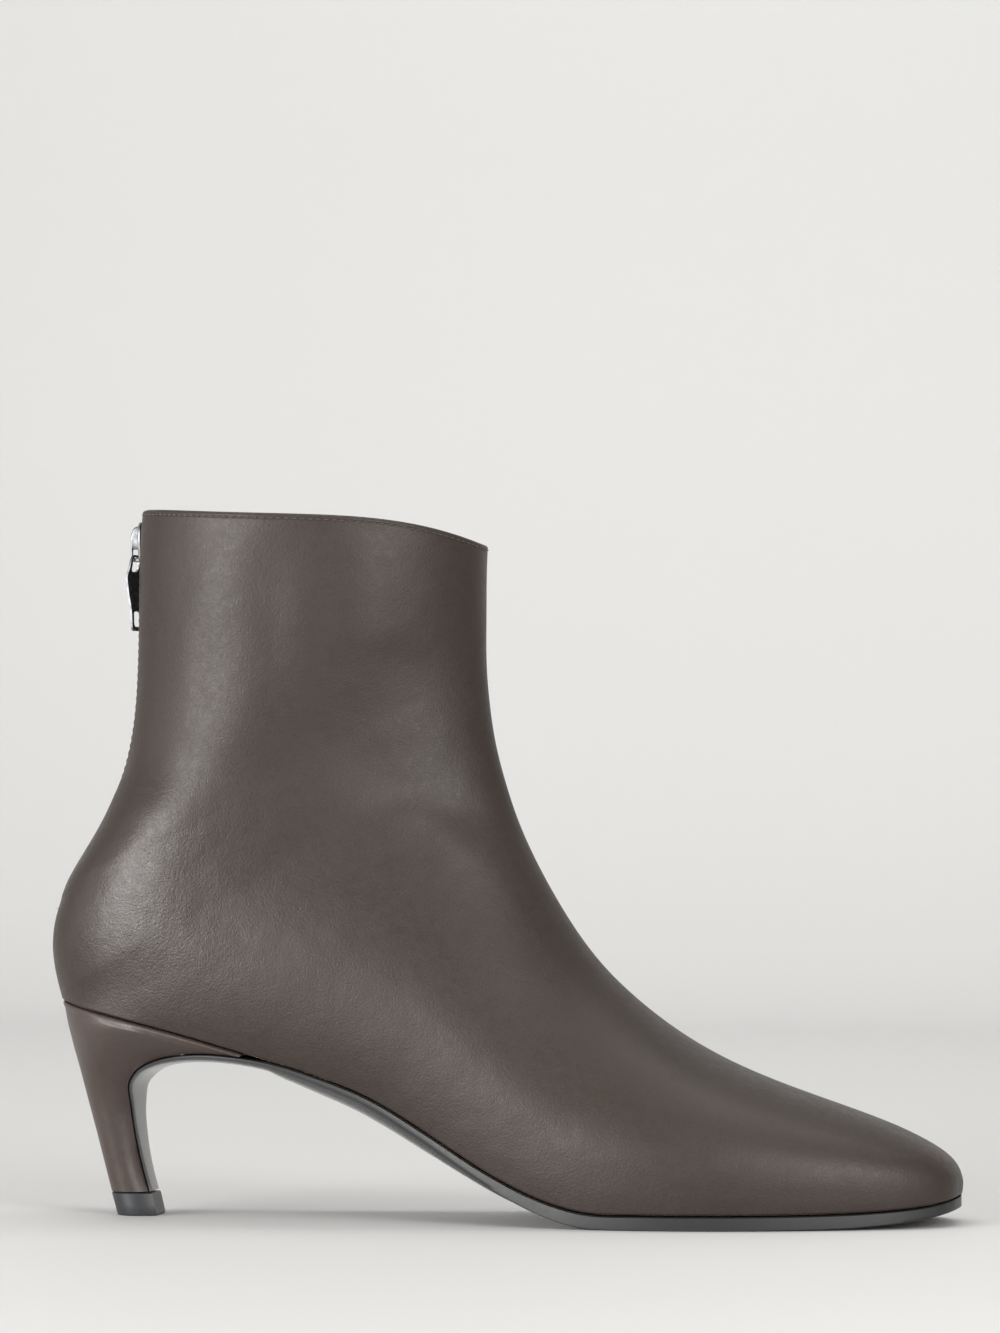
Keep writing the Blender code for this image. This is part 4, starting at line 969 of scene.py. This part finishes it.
def makeSlider():
    low, high = slider["height"]
    spot, _ = backLine([(low + high) / 2])
    face = spot[0, 0]
    middle = (face, (low + high) / 2)
    near, far = slider["depth"]
    plan = sliderPlan(slider["half"], high - low)
    levels = ((near, 0.98), (near + 0.08, 1.0), (far - 0.4, 1.0), (far - 0.18, 0.97), (far - 0.05, 0.91),
              (far, 0.82))
    piece = softBlock("zipSlider", plan, levels, middle, gunmetal, "boot")
    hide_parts("zip_slider")
    # bail: outer and inner line paired from foot to foot (depth, height), a rounded section between
    zLow, zHigh = slider["bailHeight"]
    inner, outer = slider["bailDepth"]
    openLow, openHigh = slider["bailOpening"]
    foot = far - 0.35
    pairs = np.array([
        (foot, zLow, foot, openLow), (outer - 1.1, zLow, inner - 0.5, openLow),
        (outer - 0.3, zLow + 0.3, inner - 0.1, openLow + 0.12), (outer, zLow + 1.1, inner, openLow + 0.5),
        (outer, openHigh + 0.6, inner, openHigh - 0.5), (outer, zHigh - 2.6, inner - 0.1, openHigh - 0.12),
        (outer - 0.6, zHigh - 0.7, inner - 0.5, openHigh), (outer - 1.5, zHigh, inner - 1.1, openHigh),
        (foot, zHigh, foot, openHigh)])
    line = curveThrough(np.arange(len(pairs)), pairs, np.linspace(0, len(pairs) - 1, 73))
    flat = np.zeros(len(line))
    centre = np.column_stack([face - (line[:, 0] + line[:, 2]) / 2, flat, (line[:, 1] + line[:, 3]) / 2])
    outward = np.column_stack([(line[:, 2] - line[:, 0]) / 2, flat, (line[:, 1] - line[:, 3]) / 2])
    angle = np.linspace(0, 2 * np.pi, 25)[:-1]
    profileAcross = slider["bailHalf"] * squared(np.cos(angle), 0.6)
    profileOut = squared(np.sin(angle), 0.6)
    ring = (centre[:, None] + outward[:, None] * profileOut[None, :, None]
            + np.array([0.0, 1.0, 0.0]) * profileAcross[None, :, None])
    bail = putMesh("zipBail", ring, sweepQuads(*ring.shape[:2]), gunmetal, "boot", 50)


makeSlider()


stop = {"height": (86.8, 88.6), "half": 2.2, "depth": (-0.8, 0.2)}


def makeStop():
    # bottom stop: a small clamp with rounded corners across both tapes
    low, high = stop["height"]
    spot, _ = backLine([(low + high) / 2])
    angle = np.linspace(-np.pi / 2, np.pi / 2, 10)
    tall = (high - low) / 2
    side = stop["half"] - 0.4 + 0.4 * np.abs(np.cos(angle)) ** 0.5
    up = tall * squared(np.sin(angle), 0.5)
    plan = np.concatenate([np.column_stack([-side, up]), np.column_stack([side, up])[::-1]])
    near, far = stop["depth"]
    piece = softBlock("zipStop", plan, ((near, 1.0), (far - 0.25, 1.0), (far - 0.06, 0.94), (far, 0.82)),
                      (spot[0, 0], (low + high) / 2), gunmetal, "boot")
    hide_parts("zip_bottom_stop")


makeStop()


pull = {
    # below the pin, depth from the leather, half width
    "rows": ((-0.3, 2.18, 1.65), (0.3, 2.18, 1.8), (2, 2.3, 2.3), (4.2, 2.78, 2.6), (5.1, 3, 2.75),
             (8.9, 2.76, 2.75), (14.9, 1.9, 2.45), (19.1, 1.72, 2.3), (20.2, 1.7, 2.15)),
    "pin": 176.8, "pinDepth": 2.18, "thick": 0.6, "turn": 24.0,
    "eye": (0.3, 4.2, 1.45), "window": (14.9, 19.1, 1.5),
}


def makePull():
    # bowed plate: across it four strips, the middle ones left out at the eye and the window, whose
    # corners are rounded by drawing their side lines together at both ends
    spot, _ = backLine([pull["pin"]])
    face = spot[0, 0]
    table = np.array(pull["rows"], float)
    drops = np.unique([*np.linspace(table[0, 0], table[-1, 0], 70), *pull["eye"][:2], *pull["window"][:2]])
    rows = curveThrough(table[:, 0], table[:, 1:], drops)
    depth, half = rows[:, 0], rows[:, 1]
    half = half * np.clip(np.sqrt(np.clip((drops - table[0, 0]) / 1.0, 0, 1)) * 0.4 + 0.6, 0, 1)
    half = half * np.clip(np.sqrt(np.clip((table[-1, 0] - drops) / 0.8, 0, 1)) * 0.22 + 0.78, 0, 1)
    inner = np.full_like(drops, 0.5)
    hole = np.zeros(len(drops) - 1, bool)
    for start, end, wide in (pull["eye"], pull["window"]):
        u = np.clip((drops - start) / (end - start), 0, 1)
        within = (drops >= start - 1e-6) & (drops <= end + 1e-6)
        opened = wide * (1 - np.abs(2 * u - 1) ** 5) ** 0.2
        inner = np.where(within, np.maximum(opened, 0.5), inner)
        middle = (drops[:-1] + drops[1:]) / 2
        hole |= (middle > start) & (middle < end)
    across = np.stack([-half, -(half + inner) / 2, -inner, inner, (half + inner) / 2, half], axis=1)
    slant = np.gradient(depth) / np.gradient(drops)
    tilt = np.arctan(slant)
    turn = math.radians(pull["turn"])
    acrossWay = np.array([math.sin(turn), math.cos(turn), 0.0])
    outWay = np.array([-math.cos(turn), math.sin(turn), 0.0])
    pin = np.array([face - pull["pinDepth"], 0.0, pull["pin"]])
    sheets = []
    for side in (-0.5, 0.5):
        out = (depth - pull["pinDepth"] - side * pull["thick"] * np.cos(tilt))[:, None, None]
        down = (drops + side * pull["thick"] * np.sin(tilt))[:, None, None] * np.array([0.0, 0.0, -1.0])
        sheets.append(pin + out * outWay + across[..., None] * acrossWay + down)
    count = across.size
    i = np.arange(len(drops) - 1)
    quads = []
    for k in range(5):
        use = i[~hole] if k == 2 else i
        a = use * 6 + k
        quads.append(np.stack([a, a + 1, a + 7, a + 6], axis=-1))
        quads.append(np.stack([a, a + 6, a + 7, a + 1], axis=-1) + count)
    for k, use in ((0, i), (5, i), (2, i[hole]), (3, i[hole])):
        a = use * 6 + k
        quads.append(np.stack([a, a + 6, a + 6 + count, a + count], axis=-1))
    ends = [0] * 5 + [len(drops) - 1] * 5
    a = np.array(ends) * 6 + np.tile(np.arange(5), 2)
    quads.append(np.stack([a, a + 1, a + 1 + count, a + count], axis=-1))
    change = np.flatnonzero(hole[1:] != hole[:-1]) + 1
    a = change * 6 + 2
    quads.append(np.stack([a, a + 1, a + 1 + count, a + count], axis=-1))
    piece = putMesh("zipPull", np.concatenate(sheets), np.vstack(quads), gunmetal, "pull_tab", 50)
    bevel = piece.modifiers.new("edges", "BEVEL")
    bevel.width = 0.16 * mm
    bevel.segments = 2
    bevel.limit_method = "ANGLE"
    bevel.angle_limit = math.radians(50)
    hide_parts("zip_pull")


makePull()
print("zip made")


def makeStitches(name, path, facing, pitch, share, radius, sink):
    # thread seen between holes: short tubes along a path on the leather, their ends dipping in
    length = lengthAlong(path[:, None], 0)[:, 0]
    count = int(length[-1] / pitch)
    start = (np.arange(count) + 0.5) * length[-1] / count
    t = np.linspace(-0.5, 0.5, 7)
    at = start[:, None] + t[None] * pitch * share
    centre = np.stack([np.interp(at, length, path[:, k]) for k in range(3)], axis=-1)
    up = np.stack([np.interp(at, length, facing[:, k]) for k in range(3)], axis=-1)
    up /= np.linalg.norm(up, axis=-1, keepdims=True)
    along = np.gradient(centre, axis=1)
    along /= np.linalg.norm(along, axis=-1, keepdims=True)
    side = np.cross(along, up)
    dip = (1 - (2 * t) ** 4) * radius * 0.9 - sink
    centre = centre + up * dip[None, :, None]
    angle = np.linspace(0, 2 * np.pi, 9)[:-1]
    thick = radius * np.array([0.35, 0.8, 1.0, 1.0, 1.0, 0.8, 0.35])[None, :, None, None]
    ring = (centre[:, :, None] + thick * (up[:, :, None] * np.sin(angle)[None, None, :, None]
                                          + side[:, :, None] * np.cos(angle)[None, None, :, None]))
    one = sweepQuads(len(t), len(angle))
    quads = (one[None] + np.arange(count)[:, None, None] * len(t) * len(angle)).reshape(-1, 4)
    piece = putMesh(name, ring, quads, thread, "boot", 70, 0.0005)


stitching = {
    "pitch": 2.1, "share": 0.74,            # length of one stitch with its gap, and the thread's share
    "radius": 0.152, "sink": 0.17,          # beside the zip and the seam
    "collarRadius": 0.2185, "collarSink": 0.04, "collarEnds": 6,
    "zipEdge": 2.1, "zipFrom": 84.6, "zipBelowCollar": 3.0,
    "seamEdge": 1.5, "seamHeights": (59.0, 82.5),
}


def stitchCollar():
    line = surface[::-1]
    length = lengthAlong(np.concatenate([collarLine[None], line]), 0)[1:]
    wanted = np.full((1, columnCount), leather["stitchLine"])
    path = pointsAtLength(line, length, wanted)[0]
    facing = pointsAtLength(normals[::-1], length, wanted)[0]
    path = path - facing * leather["stitchDepth"]
    keep = slice(stitching["collarEnds"], columnCount - stitching["collarEnds"])
    makeStitches("collarStitches", path[keep], facing[keep], stitching["pitch"], stitching["share"],
                 stitching["collarRadius"], stitching["collarSink"])


def stitchBeside(name, rows, distance, flip):
    # a row of stitches at a fixed distance from the zip slit or the back seam
    line = surface[rows][:, ::-1] if flip else surface[rows]
    face = normals[rows][:, ::-1] if flip else normals[rows]
    line, face = line.transpose(1, 0, 2), face.transpose(1, 0, 2)
    length = lengthAlong(line, 0)
    wanted = np.full((1, line.shape[1]), distance)
    makeStitches(name, pointsAtLength(line, length, wanted)[0], pointsAtLength(face, length, wanted)[0],
                 stitching["pitch"], stitching["share"], stitching["radius"], stitching["sink"])


stitchCollar()
heights = surface[:, 0, 2]
backRows = np.arange(rowCount) > heelBack
zipRows = backRows & (heights > stitching["zipFrom"]) & (collarDistance[:, 0] > stitching["zipBelowCollar"])
seamLow, seamHigh = stitching["seamHeights"]
seamRows = backRows & (heights > seamLow) & (heights < seamHigh)
for flip, side in ((False, "Lateral"), (True, "Medial")):
    stitchBeside("zipStitches" + side, zipRows, stitching["zipEdge"], flip)
    stitchBeside("seamStitches" + side, seamRows, stitching["seamEdge"], flip)
print("stitches made")


studio = {
    "floor": (0.585, 0.585, 0.58), "backdrop": (0.67, 0.67, 0.665),
    "backdropBend": 0.55, "backdropAt": 1.35, "backdropHeight": 2.6,
    "world": (0.97, 0.97, 0.97), "worldStrength": 0.36,
    # name: place, aim, size across and up in metres, watts, colour
    "lights": {
        "overhead": ((0.15, -0.25, 1.75), (0.1, 0.0, 0.05), (1.7, 1.3), 8.0, (1.0, 0.985, 0.96)),
        "leftPanel": ((-0.83, -1.06, 0.25), (0.03, 0.0, 0.09), (1.06, 0.49), 25.5, (1.0, 0.985, 0.965)),
        "rightPanel": ((0.88, -0.86, 0.40), (0.06, 0.0, 0.13), (0.50, 0.78), 11.5, (1.0, 0.985, 0.965)),
        "backLeft": ((-1.3, -0.15, 0.3), (0.0, 0.0, 0.09), (0.8, 0.8), 2.5, (1.0, 0.99, 0.97)),
        "backdropWash": ((0.1, 0.35, 1.9), (0.1, 1.5, 0.5), (2.2, 0.6), 19.5, (1.0, 0.99, 0.97)),
    },
}


def makeStudio():
    # floor that bends up into the backdrop: a profile (y, z) carried along x
    bend = studio["backdropBend"]
    angle = np.linspace(0, np.pi / 2, 16)
    y = np.concatenate([[-2.6, -1.2, -0.4, 0.2], studio["backdropAt"] + bend * np.sin(angle),
                        [studio["backdropAt"] + bend]])
    z = np.concatenate([[0, 0, 0, 0], bend * (1 - np.cos(angle)), [studio["backdropHeight"]]])
    x = np.linspace(-3.5, 3.5, 9)
    grid = np.stack(np.broadcast_arrays(x[None], y[:, None], z[:, None]), axis=-1)
    made, tree, shader, place = newMaterial("studioPaper", Roughness=0.7, Specular_IOR_Level=0.2)
    back = rampOn(tree, addNode(tree, "SeparateXYZ", {"Vector": place}).outputs["Y"], 0.3, 1.5, 0.0, 1.0)
    tree.links.new(mixColours(tree, back, studio["floor"], studio["backdrop"]), shader.inputs["Base Color"])
    data = bpy.data.meshes.new("studioFloor")
    data.from_pydata(grid.reshape(-1, 3).tolist(), [], gridQuads(len(y), len(x)).tolist())
    data.shade_smooth()
    data.materials.append(made)
    floor = bpy.data.objects.new("studioFloor", data)
    bpy.context.scene.collection.objects.link(floor)
    for name, (place, aim, size, watts, colour) in studio["lights"].items():
        lamp = bpy.data.lights.new(name, "AREA")
        lamp.shape = "RECTANGLE"
        lamp.size, lamp.size_y = size
        lamp.energy = watts
        lamp.color = colour
        holder = bpy.data.objects.new(name, lamp)
        holder.location = place
        holder.rotation_euler = (Vector(aim) - Vector(place)).to_track_quat("-Z", "Y").to_euler()
        bpy.context.scene.collection.objects.link(holder)
    world = bpy.context.scene.world or bpy.data.worlds.new("studio")
    bpy.context.scene.world = world
    world.use_nodes = True
    sky = world.node_tree.nodes["Background"]
    sky.inputs["Color"].default_value = (*studio["world"], 1.0)
    sky.inputs["Strength"].default_value = studio["worldStrength"]


makeStudio()


view = {"place": (0.2929, -1.3055, 0.099), "yaw": 8.5, "pitch": 2.062, "lens": 133.87}


def makeCamera():
    camera = bpy.data.cameras.new("camera")
    camera.sensor_width = 36.0
    camera.lens = view["lens"]
    camera.clip_start = 0.05
    holder = bpy.data.objects.new("camera", camera)
    holder.location = view["place"]
    yaw, pitch = math.radians(view["yaw"]), math.radians(view["pitch"])
    ahead = Vector((-math.sin(yaw) * math.cos(pitch), math.cos(yaw) * math.cos(pitch), math.sin(pitch)))
    holder.rotation_euler = ahead.to_track_quat("-Z", "Y").to_euler()
    bpy.context.scene.collection.objects.link(holder)
    bpy.context.scene.camera = holder
    bpy.context.scene.view_settings.view_transform = "Standard"


makeCamera()
print("studio ready")
